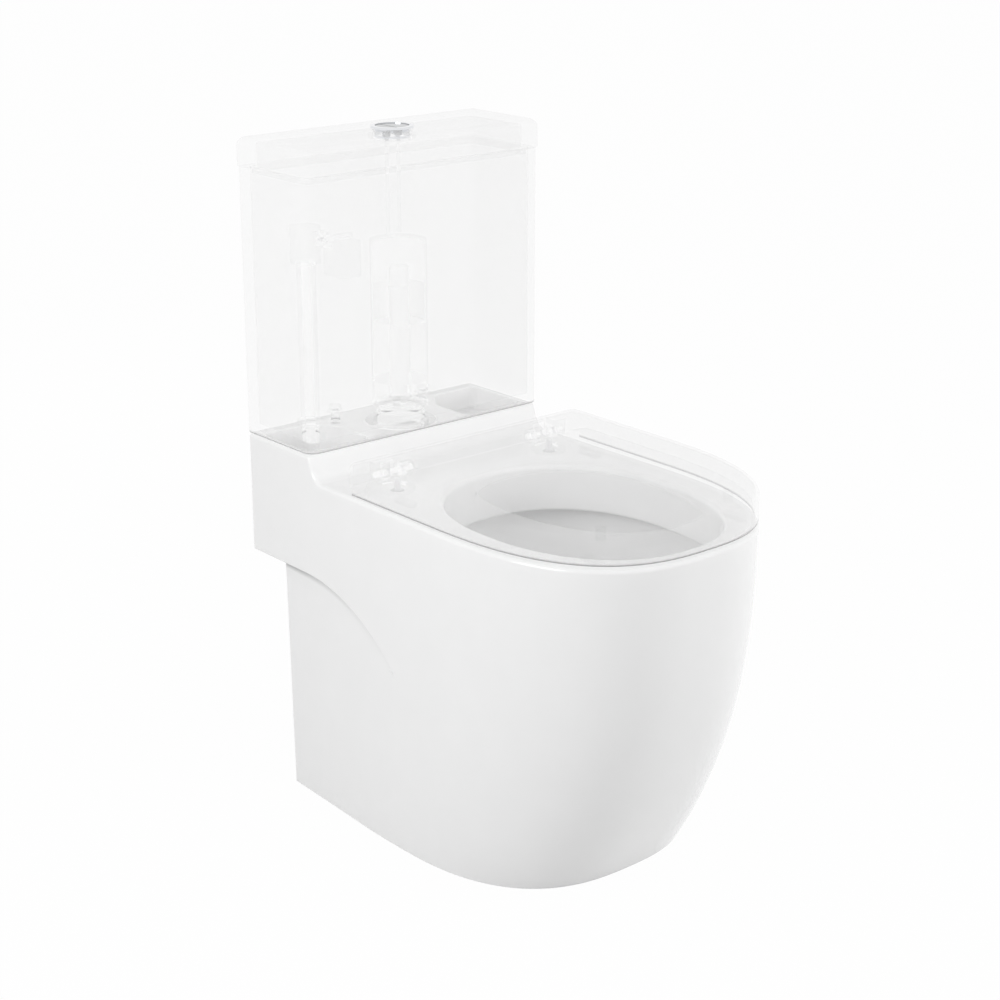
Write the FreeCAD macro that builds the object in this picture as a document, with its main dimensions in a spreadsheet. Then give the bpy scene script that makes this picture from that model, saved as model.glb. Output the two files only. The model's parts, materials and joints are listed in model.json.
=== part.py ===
import FreeCAD, Part
import math
import os

import Sketcher
from FreeCAD import Placement, Rotation, Vector

# A close-coupled comfort height toilet, in millimetres. Z is up, +Y points at the wall and X runs
# across. The origin is on the floor at the middle of the toilet's box, so the wall is at half the
# projection. Places along the depth are given as distances from the wall, as a fitter gives them.

SIZES = {
    # The pan's outside.
    "projection": 626.0,
    "rim_width": 370.0,
    "rim_height": 434.0,
    "rim_straight_distance": 365.0,
    "rear_inset": 3.5,
    "foot_inset": 4.5,
    "foot_straight_distance": 289.0,
    "foot_setback": 114.0,
    "nose_power_share": 2.65,
    "foot_curve_power_share": 2.4,
    "platform_rise": 31.0,
    "platform_depth": 128.0,
    "band_depth": 5.0,
    "band_height": 13.0,
    "cove_depth": 5.0,
    "cove_radius": 20.0,
    "rim_edge": 5.0,
    "block_height": 156.0,
    "block_overhang": 55.0,
    "foot_rear_distance": 62.0,
    "arch_corner_distance": 223.5,
    "arch_angle": 48.0,
    "arch_radius": 255.0,
    "recess_depth": 10.5,
    "recess_end_distance": 292.0,
    # The pan's walls and hollows.
    "pan_wall": 10.0,
    "rear_side_wall": 20.5,
    "deck_thickness": 12.0,
    "block_wall": 10.0,
    "rim_side_width": 43.0,
    "opening_centre_distance": 415.0,
    "opening_rear_length": 166.0,
    "opening_front_length": 182.0,
    "opening_power_share": 2.25,
    "opening_edge": 4.0,
    "rim_wall": 8.0,
    "rim_wall_height": 60.0,
    "rim_channel": 12.0,
    "bowl_wall": 9.0,
    "sump_height": 31.0,
    "sump_width": 84.0,
    "sump_length": 86.0,
    "sump_centre_distance": 343.0,
    # The cistern platform.
    "pocket_side_wall": 9.5,
    "pocket_front_wall": 13.0,
    "pocket_rear_wall": 16.0,
    "pocket_inner_offset": 78.0,
    "pocket_notch_width": 26.0,
    "pocket_notch_depth": 36.0,
    "pocket_depth": 35.0,
    "pocket_corner": 12.0,
    "pocket_wall": 6.0,
    "supply_hole_radius": 20.0,
    "supply_side_distance": 55.0,
    "supply_distance": 60.0,
    "inlet_distance": 76.0,
    "inlet_recess_radius": 45.0,
    "inlet_recess_depth": 30.0,
    "inlet_bore_radius": 32.0,
    "inlet_cup_wall": 5.0,
    "inlet_cup_floor": 8.0,
    "inlet_ring_rise": 1.0,
    "duct_width": 80.0,
    "duct_height": 36.0,
    "duct_wall": 8.0,
    # The trap and the outlet.
    "spigot_radius": 51.0,
    "trap_wall": 8.0,
    "spigot_height": 180.0,
    "spigot_end_distance": 61.0,
    "spigot_bend_distance": 120.0,
    "trap_crown_distance": 205.0,
    "trap_crown_height": 250.0,
    "trap_dip_distance": 262.0,
    "trap_dip_height": 75.0,
    "trap_bend_radius": 60.0,
    # The floor lugs inside the skirt.
    "lug_bite": 4.0,
    "lug_distance": 150.0,
    "lug_length": 40.0,
    "lug_width": 50.0,
    "lug_height": 25.0,
    "lug_hole_radius": 5.5,
    # The cistern.
    "tank_depth": 135.5,
    "tank_height": 335.6,
    "tank_wall": 9.0,
    "tank_floor": 12.0,
    "tank_front_corner": 16.0,
    "tank_rear_corner": 6.0,
    "tank_inner_corner": 8.0,
    "tank_bottom_edge": 2.0,
    "cushion_thickness": 2.0,
    "cushion_length": 110.0,
    "cushion_width": 8.0,
    "cushion_inset": 3.5,
    "cushion_offset": 58.0,
    "lid_height": 36.0,
    "lid_overhang": 2.5,
    "lid_top_edge": 11.0,
    "lid_bottom_edge": 2.0,
    "lid_wall": 8.0,
    "lid_lip_height": 8.0,
    "lid_lip_gap": 2.0,
    "lid_lip_wall": 4.0,
    # The bolts that hold the cistern down.
    "bolt_spacing": 142.0,
    "bolt_distance": 31.5,
    "bolt_radius": 4.0,
    "bolt_hole_radius": 6.0,
    "bolt_tail": 18.0,
    "bolt_head_radius": 8.0,
    "bolt_head_height": 5.0,
    "bolt_washer_radius": 10.5,
    "bolt_washer_thickness": 3.0,
    "cone_washer_radius": 11.0,
    "cone_washer_thickness": 4.0,
    "wing_nut_height": 9.0,
    "wing_nut_radius": 7.0,
    "wing_span": 22.0,
    "wing_thickness": 3.0,
    "thread_gap": 0.05,
    # The flush valve.
    "valve_tail_radius": 30.0,
    "valve_bore_radius": 26.0,
    "valve_tail_length": 27.0,
    "valve_hole_gap": 1.5,
    "valve_flange_radius": 38.0,
    "valve_flange_thickness": 5.0,
    "valve_washer_thickness": 2.0,
    "valve_nut_radius": 35.5,
    "valve_nut_height": 12.0,
    "gasket_gap": 0.5,
    "cage_radius": 36.0,
    "cage_wall": 2.5,
    "cage_height": 214.0,
    "cage_top_thickness": 5.0,
    "cage_window_height": 30.0,
    "cage_window_width": 44.0,
    "cage_sill_height": 4.0,
    "cage_shelf_height": 111.0,
    "cage_shelf_width": 2.5,
    "cage_shelf_thickness": 3.0,
    "seal_radius": 30.0,
    "seal_thickness": 3.0,
    "overflow_radius": 14.0,
    "overflow_wall": 2.0,
    "overflow_height": 176.0,
    "core_flange_radius": 24.0,
    "core_flange_thickness": 3.0,
    "half_float_height": 45.0,
    "half_float_gap": 1.0,
    # The fill valve.
    "shank_radius": 10.3,
    "shank_length": 25.0,
    "shank_shoulder": 0.2,
    "shank_bore_radius": 6.0,
    "shank_hole_gap": 0.7,
    "shank_nut_radius": 16.0,
    "shank_nut_height": 8.0,
    "fill_flange_radius": 17.0,
    "fill_flange_thickness": 4.0,
    "fill_washer_thickness": 3.0,
    "riser_radius": 12.0,
    "riser_height": 204.0,
    "fill_head_radius": 19.0,
    "fill_head_height": 45.0,
    "fill_ear_length": 15.0,
    "fill_ear_width": 18.0,
    "fill_ear_height": 18.0,
    "fill_slot_width": 8.0,
    "float_pin_radius": 2.0,
    "float_pin_offset": 26.0,
    "float_pin_rise": 25.0,
    "pin_running_gap": 0.05,
    "float_arm_length": 44.0,
    "float_arm_width": 7.0,
    "float_arm_height": 7.0,
    "float_boss_radius": 6.0,
    "float_length": 30.0,
    "float_width": 44.0,
    "float_height": 45.0,
    "float_edge": 5.0,
    # The flush buttons.
    "bezel_radius": 27.5,
    "bezel_rise": 2.5,
    "bezel_tail_radius": 24.0,
    "bezel_hole_gap": 0.5,
    "bezel_bore_radius": 21.5,
    "bezel_depth": 14.0,
    "bezel_floor": 2.5,
    "bezel_nut_radius": 30.0,
    "bezel_nut_height": 5.0,
    "button_gap": 0.5,
    "button_split": 1.0,
    "button_split_offset": 4.0,
    "button_rise": 1.5,
    "button_thickness": 5.5,
    "rod_radius": 2.5,
    "rod_spacing": 18.0,
    "rod_hole_gap": 0.4,
    "rod_stand_off": 7.0,
    "spring_radius": 5.5,
    "spring_wire_radius": 0.6,
    # The seat, its cover and their hinges.
    "cover_rear_distance": 203.0,
    "cover_height": 42.0,
    "cover_gap": 5.0,
    "cover_rear_gap": 12.0,
    "cover_wall": 4.5,
    "cover_edge": 9.0,
    "cover_corner": 16.0,
    "cover_front_inset": 0.5,
    "seat_gap": 5.0,
    "seat_thickness": 18.0,
    "seat_side_gap": 2.0,
    "seat_rear_distance": 232.0,
    "seat_corner": 12.0,
    "seat_edge": 4.0,
    "seat_opening_width": 224.0,
    "seat_opening_centre_distance": 420.0,
    "seat_opening_rear_length": 130.0,
    "seat_opening_front_length": 160.0,
    "hinge_spacing": 244.0,
    "hinge_hole_distance": 226.0,
    "hinge_hole_radius": 8.0,
    "hinge_axis_distance": 217.0,
    "hinge_axis_rise": 22.0,
    "hinge_barrel_radius": 9.0,
    "hinge_pin_radius": 4.0,
    "hinge_post_width": 20.0,
    "hinge_post_rear": 8.0,
    "hinge_post_front": 14.0,
    "hinge_foot_radius": 22.0,
    "hinge_foot_thickness": 4.0,
    "hinge_lug_width": 17.0,
    "hinge_lug_gap": 0.7,
    "hinge_notch_gap": 1.5,
    "damper_wall": 2.9,
    "stud_radius": 4.0,
    "stud_reach": 15.0,
    "stud_tail": 28.0,
    "bush_gap": 0.3,
    "bush_flange_radius": 13.0,
    "bush_flange_thickness": 5.0,
    "stud_washer_radius": 12.0,
    "stud_washer_thickness": 2.0,
    "stud_nut_radius": 8.0,
    "stud_nut_height": 7.0,
    "buffer_length": 34.0,
    "buffer_width": 12.0,
    "buffer_corner": 5.0,
    "rear_buffer_distance": 275.0,
    "rear_buffer_inset": 37.0,
    "front_buffer_distance": 560.0,
    "front_buffer_inset": 73.0,
    "cover_buffer_radius": 6.0,
    "cover_buffer_offset": 100.0,
    # How far a cutting shape runs past what it cuts.
    "overrun": 5.0,
}

# The bowl's inside, from under the rim down to the sump: the share of its height that is left, and
# how far its rear, front and side edges have come from the rim's place towards the sump's.
BOWL_HEIGHT_SHARES = (1.0, 0.86, 0.72, 0.56, 0.38, 0.2, 0.07, 0.0)
BOWL_REAR_SHARES = (0.0, 0.0, 0.08, 0.24, 0.45, 0.68, 0.88, 1.0)
BOWL_FRONT_SHARES = (0.0, 0.0, 0.14, 0.37, 0.62, 0.83, 0.95, 1.0)
BOWL_SIDE_SHARES = (0.0, 0.0, 0.13, 0.36, 0.62, 0.84, 0.96, 1.0)

# The pan's outline is drawn at these shares of the rim's height.
SECTION_HEIGHT_SHARES = (0.0, 0.09, 0.2, 0.35, 0.52, 0.74, 1.0)
NOSE_POINT_COUNT = 25
LOOP_POINT_COUNT = 40
SPRING_TURN_COUNT = 4

doc = FreeCAD.newDocument("comfort_height_toilet")
sheet = doc.addObject("Spreadsheet::Sheet", "Sizes")
for row, (alias, value) in enumerate(SIZES.items(), 1):
    sheet.set(f"A{row}", alias)
    sheet.set(f"B{row}", str(value))
    sheet.setAlias(f"B{row}", alias)
doc.recompute()


class Size:
    """A length from the sheet, or a sum of such lengths: its value now, and its formula."""

    def __init__(self, value, formula):
        self.value = float(value)
        self.formula = formula

    def joined(self, sign, other, value):
        return Size(value, f"({self.formula} {sign} {formula(other)})")

    def __add__(self, other):
        return self.joined("+", other, self.value + float(other))

    def __sub__(self, other):
        return self.joined("-", other, self.value - float(other))

    def __mul__(self, other):
        return self.joined("*", other, self.value * float(other))

    def __truediv__(self, other):
        return self.joined("/", other, self.value / float(other))

    def __neg__(self):
        return Size(-self.value, f"(-1 * {self.formula})")

    def __float__(self):
        return self.value


def formula(size):
    """A size's formula, or a plain count or share as text."""
    return size.formula if isinstance(size, Size) else str(size)


class Sheet:
    """Reads a named size from the sheet."""

    def __getattr__(self, alias):
        return Size(sheet.get(alias), f"Sizes.{alias}")


s = Sheet()
wall = s.projection / 2

# The cistern and the seat's cover are as wide as the rim, and the platform and the foot stand in a
# little from it.
rim_half = s.rim_width / 2
rear_half = rim_half - s.rear_inset
foot_half = rim_half - s.foot_inset
platform_height = s.rim_height + s.platform_rise
block_underside = platform_height - s.block_height
supply_x = rim_half - s.supply_side_distance


def place(distance):
    """The Y coordinate of a point at a distance in front of the wall."""
    return wall - distance


def point(x, distance, height):
    """A point given across, out from the wall and up."""
    return Vector(float(x), float(wall) - float(distance), float(height))


def bind(thing, **sizes):
    """Ties the properties of an object to the sheet. A double underscore stands for a dot."""
    for name, size in sizes.items():
        thing.setExpression(name.replace("__", "."), formula(size))
    return thing


def move(thing, x=0, y=0, z=0):
    """Ties the place of an object to the sheet."""
    return bind(thing, Placement__Base__x=x, Placement__Base__y=y, Placement__Base__z=z)


# Drawing and cutting


def origin_plane(body, role):
    return next(f for f in body.Origin.OriginFeatures if f.Role == role)


def draw(body, role, corners, height=0):
    """A closed outline of straight lines whose corners are tied to the sheet."""
    sketch = body.newObject("Sketcher::SketchObject", body.Name + "_outline")
    sketch.AttachmentSupport = [(origin_plane(body, role), "")]
    sketch.MapMode = "FlatFace"
    if height:
        bind(sketch, AttachmentOffset__Base__z=height)
    dots = [Vector(float(a), float(b), 0) for a, b in corners]
    count = len(corners)
    for i in range(count):
        sketch.addGeometry(Part.LineSegment(dots[i], dots[(i + 1) % count]), False)
    for i in range(count):
        sketch.addConstraint(Sketcher.Constraint("Coincident", i, 2, (i + 1) % count, 1))
    for i, corner in enumerate(corners):
        for kind, size, axis, now in (
            ("DistanceX", corner[0], -2, dots[i].x),
            ("DistanceY", corner[1], -1, dots[i].y),
        ):
            if isinstance(size, Size):
                number = sketch.addConstraint(Sketcher.Constraint(kind, -1, 1, i, 1, now))
                sketch.setExpression(f"Constraints[{number}]", formula(size))
            else:
                sketch.addConstraint(Sketcher.Constraint("PointOnObject", i, 1, axis))
    return sketch


def new_body(name):
    return doc.addObject("PartDesign::Body", name)


def pad(body, sketch, length, midplane=False):
    """Gives an outline its thickness."""
    feature = body.newObject("PartDesign::Pad", body.Name + "_pad")
    feature.Profile = sketch
    feature.Midplane = midplane
    bind(feature, Length=length)
    doc.recompute()
    return feature


def soften(body, radius, chosen):
    """Rounds the edges of a body that the test picks."""
    base = body.Tip
    names = [f"Edge{i}" for i, edge in enumerate(base.Shape.Edges, 1) if chosen(edge)]
    feature = body.newObject("PartDesign::Fillet", body.Name + "_fillet")
    feature.Base = (base, names)
    bind(feature, Radius=radius)
    doc.recompute()
    return feature


def upright(edge):
    """Whether an edge is straight and vertical."""
    low, high = edge.BoundBox.ZMin, edge.BoundBox.ZMax
    return isinstance(edge.Curve, Part.Line) and abs(high - low - edge.Length) < edge.Length / 1e6


def level(height, tolerance=s.thread_gap):
    """A test for the edges that lie at one height."""

    def chosen(edge):
        box = edge.BoundBox
        near = float(tolerance)
        return abs(box.ZMin - float(height)) < near and abs(box.ZMax - float(height)) < near

    return chosen


def turned(name, profile, x=0, y=0):
    """A piece turned about an upright axis, from corners given as radius and height."""
    body = new_body(name)
    sketch = draw(body, "XZ_Plane", profile)
    feature = body.newObject("PartDesign::Revolution", name + "_turn")
    feature.Profile = sketch
    feature.ReferenceAxis = (sketch, ["V_Axis"])
    feature.Angle = 360
    move(body, x, y)
    return body


def ring(name, inner, outer, low, high, x=0, y=0):
    """A washer, tube or, with no inner radius, a plain round bar."""
    profile = [(inner, low), (outer, low), (outer, high), (inner, high)]
    return turned(name, profile, x, y)


def block(name, low, high):
    """A box between two corners."""
    box = doc.addObject("Part::Box", name)
    bind(box, Length=high[0] - low[0], Width=high[1] - low[1], Height=high[2] - low[2])
    return move(box, *low)


def bar(name, radius, start, length, direction="x"):
    """A round bar along X or Y."""
    cylinder = doc.addObject("Part::Cylinder", name)
    bind(cylinder, Radius=radius, Height=length)
    axis, turn = (Vector(0, 1, 0), 90) if direction == "x" else (Vector(1, 0, 0), -90)
    cylinder.Placement = Placement(Vector(), Rotation(axis, turn))
    return move(cylinder, *start)


def fuse(name, *pieces):
    feature = doc.addObject("Part::MultiFuse", name)
    feature.Shapes = list(pieces)
    return feature


def cut(name, base, *tools):
    feature = doc.addObject("Part::Cut", name)
    feature.Base = base
    feature.Tool = tools[0] if len(tools) == 1 else fuse(name + "_tools", *tools)
    return feature


def common(name, *pieces):
    feature = doc.addObject("Part::MultiCommon", name)
    feature.Shapes = list(pieces)
    return feature


def mirrored(name, source):
    """The same piece on the other side of the toilet."""
    feature = doc.addObject("Part::Mirroring", name)
    feature.Source = source
    feature.Normal = Vector(1, 0, 0)
    return feature


def group(name, *pieces):
    """Alike pieces that stay separate solids in one node."""
    feature = doc.addObject("Part::Compound", name)
    feature.Links = list(pieces)
    return feature


def pair(name, source):
    return group(name, source, mirrored(name + "_other", source))


def shaped(name, shape):
    """An object for a curve or a face that is worked out by a formula."""
    feature = doc.addObject("Part::Feature", name)
    feature.Shape = shape
    return feature


def loft(name, wires):
    """A solid whose skin runs smoothly through closed wires."""
    sections = [shaped(f"{name}_section_{i}", wire) for i, wire in enumerate(wires, 1)]
    feature = doc.addObject("Part::Loft", name)
    feature.Sections = sections
    feature.Solid = True
    return feature


def extruded(name, wire, height):
    """A closed wire drawn straight up."""
    feature = doc.addObject("Part::Extrusion", name)
    feature.Base = shaped(name + "_outline", wire)
    feature.DirMode = "Custom"
    feature.Dir = Vector(0, 0, 1)
    feature.Solid = True
    return bind(feature, LengthFwd=height)


def prism_across(name, corners, width):
    """A side profile, given as distance from the wall and height, drawn across the toilet."""
    body = new_body(name)
    sketch = draw(body, "YZ_Plane", [(place(distance), height) for distance, height in corners])
    pad(body, sketch, width, midplane=True)
    return body


def rounded(name, source, radius, chosen):
    """Rounds the edges of a solid that the test picks."""
    doc.recompute()
    size = float(radius)
    feature = doc.addObject("Part::Fillet", name)
    feature.Base = source
    edges = enumerate(source.Shape.Edges, 1)
    feature.Edges = [(i, size, size) for i, edge in edges if chosen(edge)]
    return feature


# Outlines


def mix(first, second, share):
    return float(first) + (float(second) - float(first)) * share


def nosed_wire(height, half_rear, half, rear, straight, front, power):
    """Straight sides that run forward from the rear edge, joined by a superellipse nose.

    A point of the nose lies at the angle a from straight ahead, where the superellipse's radius is
    one over the power's root of |cos a| ** power + |sin a| ** power.
    """
    points = []
    for i in range(NOSE_POINT_COUNT):
        angle = math.pi * (i / (NOSE_POINT_COUNT - 1) - 1 / 2)
        c, w = abs(math.cos(angle)), abs(math.sin(angle))
        radius = (c**power + w**power) ** (-1 / power)
        x = float(half) * radius * math.sin(angle)
        distance = mix(straight, front, radius * math.cos(angle))
        points.append(point(x, distance, height))
    nose = Part.BSplineCurve()
    steps = [i / (NOSE_POINT_COUNT - 1) for i in range(NOSE_POINT_COUNT)]
    nose.interpolate(Points=points, Parameters=steps)
    left = point(-float(half_rear), rear, height)
    right = point(half_rear, rear, height)
    edges = [
        Part.makeLine(left, points[0]),
        nose.toShape(),
        Part.makeLine(points[-1], right),
        Part.makeLine(right, left),
    ]
    return Part.Wire(edges)


def egg_wire(height, half, centre, rear_length, front_length, power):
    """A closed superellipse with a longer front half than rear half."""
    points = []
    for i in range(LOOP_POINT_COUNT):
        angle = 2 * math.pi * i / LOOP_POINT_COUNT
        c, w = math.cos(angle), math.sin(angle)
        radius = (abs(c) ** power + abs(w) ** power) ** (-1 / power)
        length = front_length if c > 0 else rear_length
        x = float(half) * radius * w
        points.append(point(x, float(centre) + float(length) * radius * c, height))
    loop = Part.BSplineCurve()
    loop.interpolate(Points=points, PeriodicFlag=True)
    return Part.Wire([loop.toShape()])


def skirt_wire(height, inset, half_rear, rear):
    """The pan's outline at one height, drawn in by a wall's thickness."""
    left_over = 1 - height / float(s.rim_height)
    lean = max(0.0, left_over) ** float(s.foot_curve_power_share)
    half = mix(rim_half, foot_half, lean) - float(inset)
    straight = mix(s.rim_straight_distance, s.foot_straight_distance, lean)
    front = float(s.projection) - float(s.foot_setback) * lean - float(inset)
    return nosed_wire(height, half_rear, half, rear, straight, front, float(s.nose_power_share))


def rounded_path(corners, radius):
    """Straight runs joined by tangent arcs of one radius."""
    edges = []
    start = corners[0]
    for before, corner, after in zip(corners, corners[1:], corners[2:]):
        back, ahead = (before - corner).normalize(), (after - corner).normalize()
        half_angle = back.getAngle(ahead) / 2
        reach = float(radius) / math.tan(half_angle)
        inward = (back + ahead).normalize()
        first, last = corner + back * reach, corner + ahead * reach
        middle = corner + inward * (float(radius) / math.sin(half_angle) - float(radius))
        edges.append(Part.makeLine(start, first))
        edges.append(Part.Arc(first, middle, last).toShape())
        start = last
    edges.append(Part.makeLine(start, corners[-1]))
    return Part.Wire(edges)


# The pan's outside

deck_underside = s.rim_height - s.deck_thickness
platform_underside = platform_height - s.block_wall


def pan_outside():
    """The outline lofted up to the platform, cut to the side profile, with the side recesses."""
    heights = [float(s.rim_height) * share for share in SECTION_HEIGHT_SHARES]
    heights.append(float(platform_height))
    wires = [skirt_wire(height, 0, rear_half, -s.overrun) for height in heights]
    skin = loft("skirt_skin", wires)
    cove_start = s.platform_depth + s.band_depth + s.cove_depth
    profile = prism_across(
        "side_profile",
        [
            (0, block_underside),
            (0, platform_height),
            (s.platform_depth, platform_height),
            (s.platform_depth + s.band_depth, platform_height - s.band_height),
            (cove_start, s.rim_height),
            (s.projection + s.overrun, s.rim_height),
            (s.projection + s.overrun, 0),
            (s.foot_rear_distance, 0),
            (s.block_overhang, block_underside),
        ],
        s.rim_width * 2,
    )

    def in_cove(edge):
        middle = edge.BoundBox.Center
        near = float(s.rim_edge)
        at_height = abs(middle.z - float(s.rim_height)) < near
        return at_height and abs(middle.y - float(place(cove_start))) < near

    soften(profile, s.cove_radius, in_cove)
    sharp = common("pan_sharp", skin, profile)
    return rounded("pan_outline", sharp, s.rim_edge, rim_edge)


def rim_edge(edge):
    """The upper outer edge of the rim, the deck and the platform, but not the rear one."""
    box = edge.BoundBox
    near = float(s.rim_edge)
    high = box.ZMin > float(s.rim_height) - near
    outer = max(box.XMax, -box.XMin) > float(rear_half) - near
    return high and outer and box.YLength > near / 5


def side_recess():
    """The hollow of one side below the arch: a slanted plane that fades out towards the front."""
    half = rear_half
    foot_share = s.recess_end_distance / s.foot_straight_distance
    rim_share = s.recess_end_distance / s.rim_straight_distance
    foot_side = rear_half + (foot_half - rear_half) * foot_share
    rim_side = rear_half + (rim_half - rear_half) * rim_share
    end_half = (foot_side + rim_side) / 2
    body = new_body("recess_wedge")
    plan = [
        (-half + s.recess_depth, place(0)),
        (-half + s.recess_depth, place(s.foot_rear_distance)),
        (-end_half, place(s.recess_end_distance)),
        (-end_half - s.pan_wall, place(s.recess_end_distance)),
        (-half - s.pan_wall, place(0)),
    ]
    pad(body, draw(body, "XY_Plane", plan), s.rim_height)
    slope = math.tan(math.radians(float(s.arch_angle)))
    arch = prism_across(
        "recess_arch",
        [
            (0, 0),
            (0, block_underside),
            (s.arch_corner_distance, block_underside),
            (s.arch_corner_distance + block_underside / slope, 0),
        ],
        s.rim_width * 2,
    )

    def at_bend(edge):
        middle = edge.BoundBox.Center
        near = float(s.rim_edge)
        at_height = abs(middle.z - float(block_underside)) < near
        return at_height and abs(middle.y - float(place(s.arch_corner_distance))) < near

    soften(arch, s.arch_radius, at_bend)
    return common("side_recess", body, arch)


# The pan's inside

inner_half_rear = rear_half - s.rear_side_wall
opening_half = rim_half - s.rim_side_width


def inner_skin():
    """The hollow of the skirt, open at the floor and at the rear below the block."""
    top = float(deck_underside)
    heights = [float(s.rim_height) * share for share in SECTION_HEIGHT_SHARES[:-1]]
    heights[0] = -float(s.overrun)
    wires = [
        skirt_wire(height, s.pan_wall, inner_half_rear, s.block_wall)
        for height in heights + [top]
    ]
    skin = loft("hollow_skin", wires)
    block_space = block(
        "block_space",
        (-inner_half_rear, place(s.platform_depth - s.block_wall), deck_underside - s.overrun),
        (inner_half_rear, place(s.block_wall), platform_underside),
    )
    keep = prism_across(
        "hollow_profile",
        [
            (0, -s.overrun),
            (0, block_underside),
            (s.block_overhang + s.block_wall, block_underside),
            (s.block_overhang + s.block_wall, block_underside + s.block_wall),
            (0, block_underside + s.block_wall),
            (0, s.rim_height),
            (s.projection, s.rim_height),
            (s.projection, -s.overrun),
        ],
        s.rim_width,
    )
    return fuse("pan_hollow", common("skirt_hollow", skin, keep), block_space)


def opening_wire(height, grow):
    """The bowl opening's outline, made larger all round by a wall or a gap."""
    grow = float(grow)
    return egg_wire(
        height,
        float(opening_half) + grow,
        s.opening_centre_distance,
        float(s.opening_rear_length) + grow,
        float(s.opening_front_length) + grow,
        float(s.opening_power_share),
    )


def bowl_wires(grow):
    """The bowl's sections, from the underside of the deck down to the sump."""
    channel = float(s.rim_wall) + float(s.rim_channel) + grow
    top, bottom = float(deck_underside), float(s.sump_height) - grow
    rear = float(s.opening_centre_distance) - float(s.opening_rear_length) - channel
    front = float(s.opening_centre_distance) + float(s.opening_front_length) + channel
    sump_rear = float(s.sump_centre_distance) - float(s.sump_length) / 2 - grow
    sump_front = float(s.sump_centre_distance) + float(s.sump_length) / 2 + grow
    sump_half = float(s.sump_width) / 2 + grow
    centre_share = float(s.opening_rear_length) / float(
        s.opening_rear_length + s.opening_front_length
    )
    shares = zip(BOWL_HEIGHT_SHARES, BOWL_REAR_SHARES, BOWL_FRONT_SHARES, BOWL_SIDE_SHARES)
    wires = []
    for up, to_rear, to_front, to_side in shares:
        section_rear = mix(rear, sump_rear, to_rear)
        section_front = mix(front, sump_front, to_front)
        length = section_front - section_rear
        wires.append(
            egg_wire(
                mix(bottom, top, up),
                mix(float(opening_half) + channel, sump_half, to_side),
                section_rear + length * centre_share,
                length * centre_share,
                length * (1 - centre_share),
                float(s.opening_power_share),
            )
        )
    return wires


def trap_tube(name, radius, first, last):
    """A tube of the trap's route from the sump over the crown to the spigot."""
    corners = [
        point(0, first, s.trap_dip_height),
        point(0, s.trap_dip_distance, s.trap_dip_height),
        point(0, s.trap_crown_distance, s.trap_crown_height),
        point(0, s.spigot_bend_distance, s.spigot_height),
        point(0, last, s.spigot_height),
    ]
    path = rounded_path(corners, s.trap_bend_radius)
    circle = Part.Wire([Part.makeCircle(float(radius), corners[0], Vector(0, 1, 0))])
    sweep = doc.addObject("Part::Sweep", name)
    sweep.Sections = [shaped(name + "_circle", circle)]
    spine = shaped(name + "_path", path)
    sweep.Spine = (spine, [f"Edge{i}" for i in range(1, len(path.Edges) + 1)])
    sweep.Solid = True
    return sweep


def pocket_outline(body, grow, height):
    """One platform pocket, with its inner rear corner drawn in to clear the cistern bolt."""
    outer = rear_half - s.pocket_side_wall + grow
    inner = s.pocket_inner_offset - grow
    rear, front = s.pocket_rear_wall - grow, s.platform_depth - s.pocket_front_wall + grow
    notch = s.pocket_rear_wall + s.pocket_notch_depth
    corners = [
        (outer, place(rear)),
        (outer, place(front)),
        (inner, place(front)),
        (inner, place(notch)),
        (inner + s.pocket_notch_width, place(rear)),
    ]
    return draw(body, "XY_Plane", corners, height)


def platform_pocket():
    """The space inside one pocket."""
    body = new_body("pocket_space")
    sketch = pocket_outline(body, 0, platform_height - s.pocket_depth)
    pad(body, sketch, s.pocket_depth + s.overrun)
    soften(body, s.pocket_corner, upright)
    return body


def pocket_cup():
    """The walls and floor round one pocket, hanging from the platform."""
    body = new_body("pocket_cup")
    low = platform_height - s.pocket_depth - s.pocket_wall
    sketch = pocket_outline(body, s.pocket_wall, low)
    pad(body, sketch, platform_underside - low + s.block_wall / 2)
    soften(body, s.pocket_corner, upright)
    return body


recess_floor = platform_height - s.inlet_recess_depth
inlet_y = place(s.inlet_distance)
duct_top = recess_floor - s.inlet_cup_floor + s.duct_wall
duct_bottom = duct_top - s.duct_height
lowest = -s.overrun

pan_outline = pan_outside()
recess = side_recess()
hollow = inner_skin()
shell = cut("pan_shell", pan_outline, recess, mirrored("side_recess_right", recess), hollow)

bowl_outside = loft("bowl_outside", bowl_wires(float(s.bowl_wall)))
bowl_inside = loft("bowl_inside", bowl_wires(0.0))
trap_outside = trap_tube(
    "trap_outside", s.spigot_radius, s.sump_centre_distance, s.spigot_end_distance
)
trap_inside = trap_tube(
    "trap_inside",
    s.spigot_radius - s.trap_wall,
    s.sump_centre_distance,
    s.spigot_end_distance - s.overrun,
)

cup = pocket_cup()
inlet_cup = ring(
    "inlet_cup",
    0,
    s.inlet_recess_radius + s.inlet_cup_wall,
    recess_floor - s.inlet_cup_floor,
    platform_height + s.inlet_ring_rise,
    0,
    inlet_y,
)
rim_ring = extruded(
    "rim_ring",
    opening_wire(float(s.rim_height - s.rim_wall_height), s.rim_wall),
    s.rim_wall_height - s.deck_thickness / 2,
)
duct_end = place(s.opening_centre_distance - s.opening_rear_length)
duct_box = block(
    "duct_box",
    (-s.duct_width / 2, duct_end, duct_bottom),
    (s.duct_width / 2, place(s.inlet_distance - s.duct_width / 2), duct_top),
)
duct = cut("flush_duct", duct_box, bowl_outside)
lug_share = s.lug_distance / s.foot_straight_distance
lug_wall = inner_half_rear + (foot_half - s.pan_wall - inner_half_rear) * lug_share
lug_x = lug_wall + s.lug_bite - s.lug_width / 2
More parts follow.
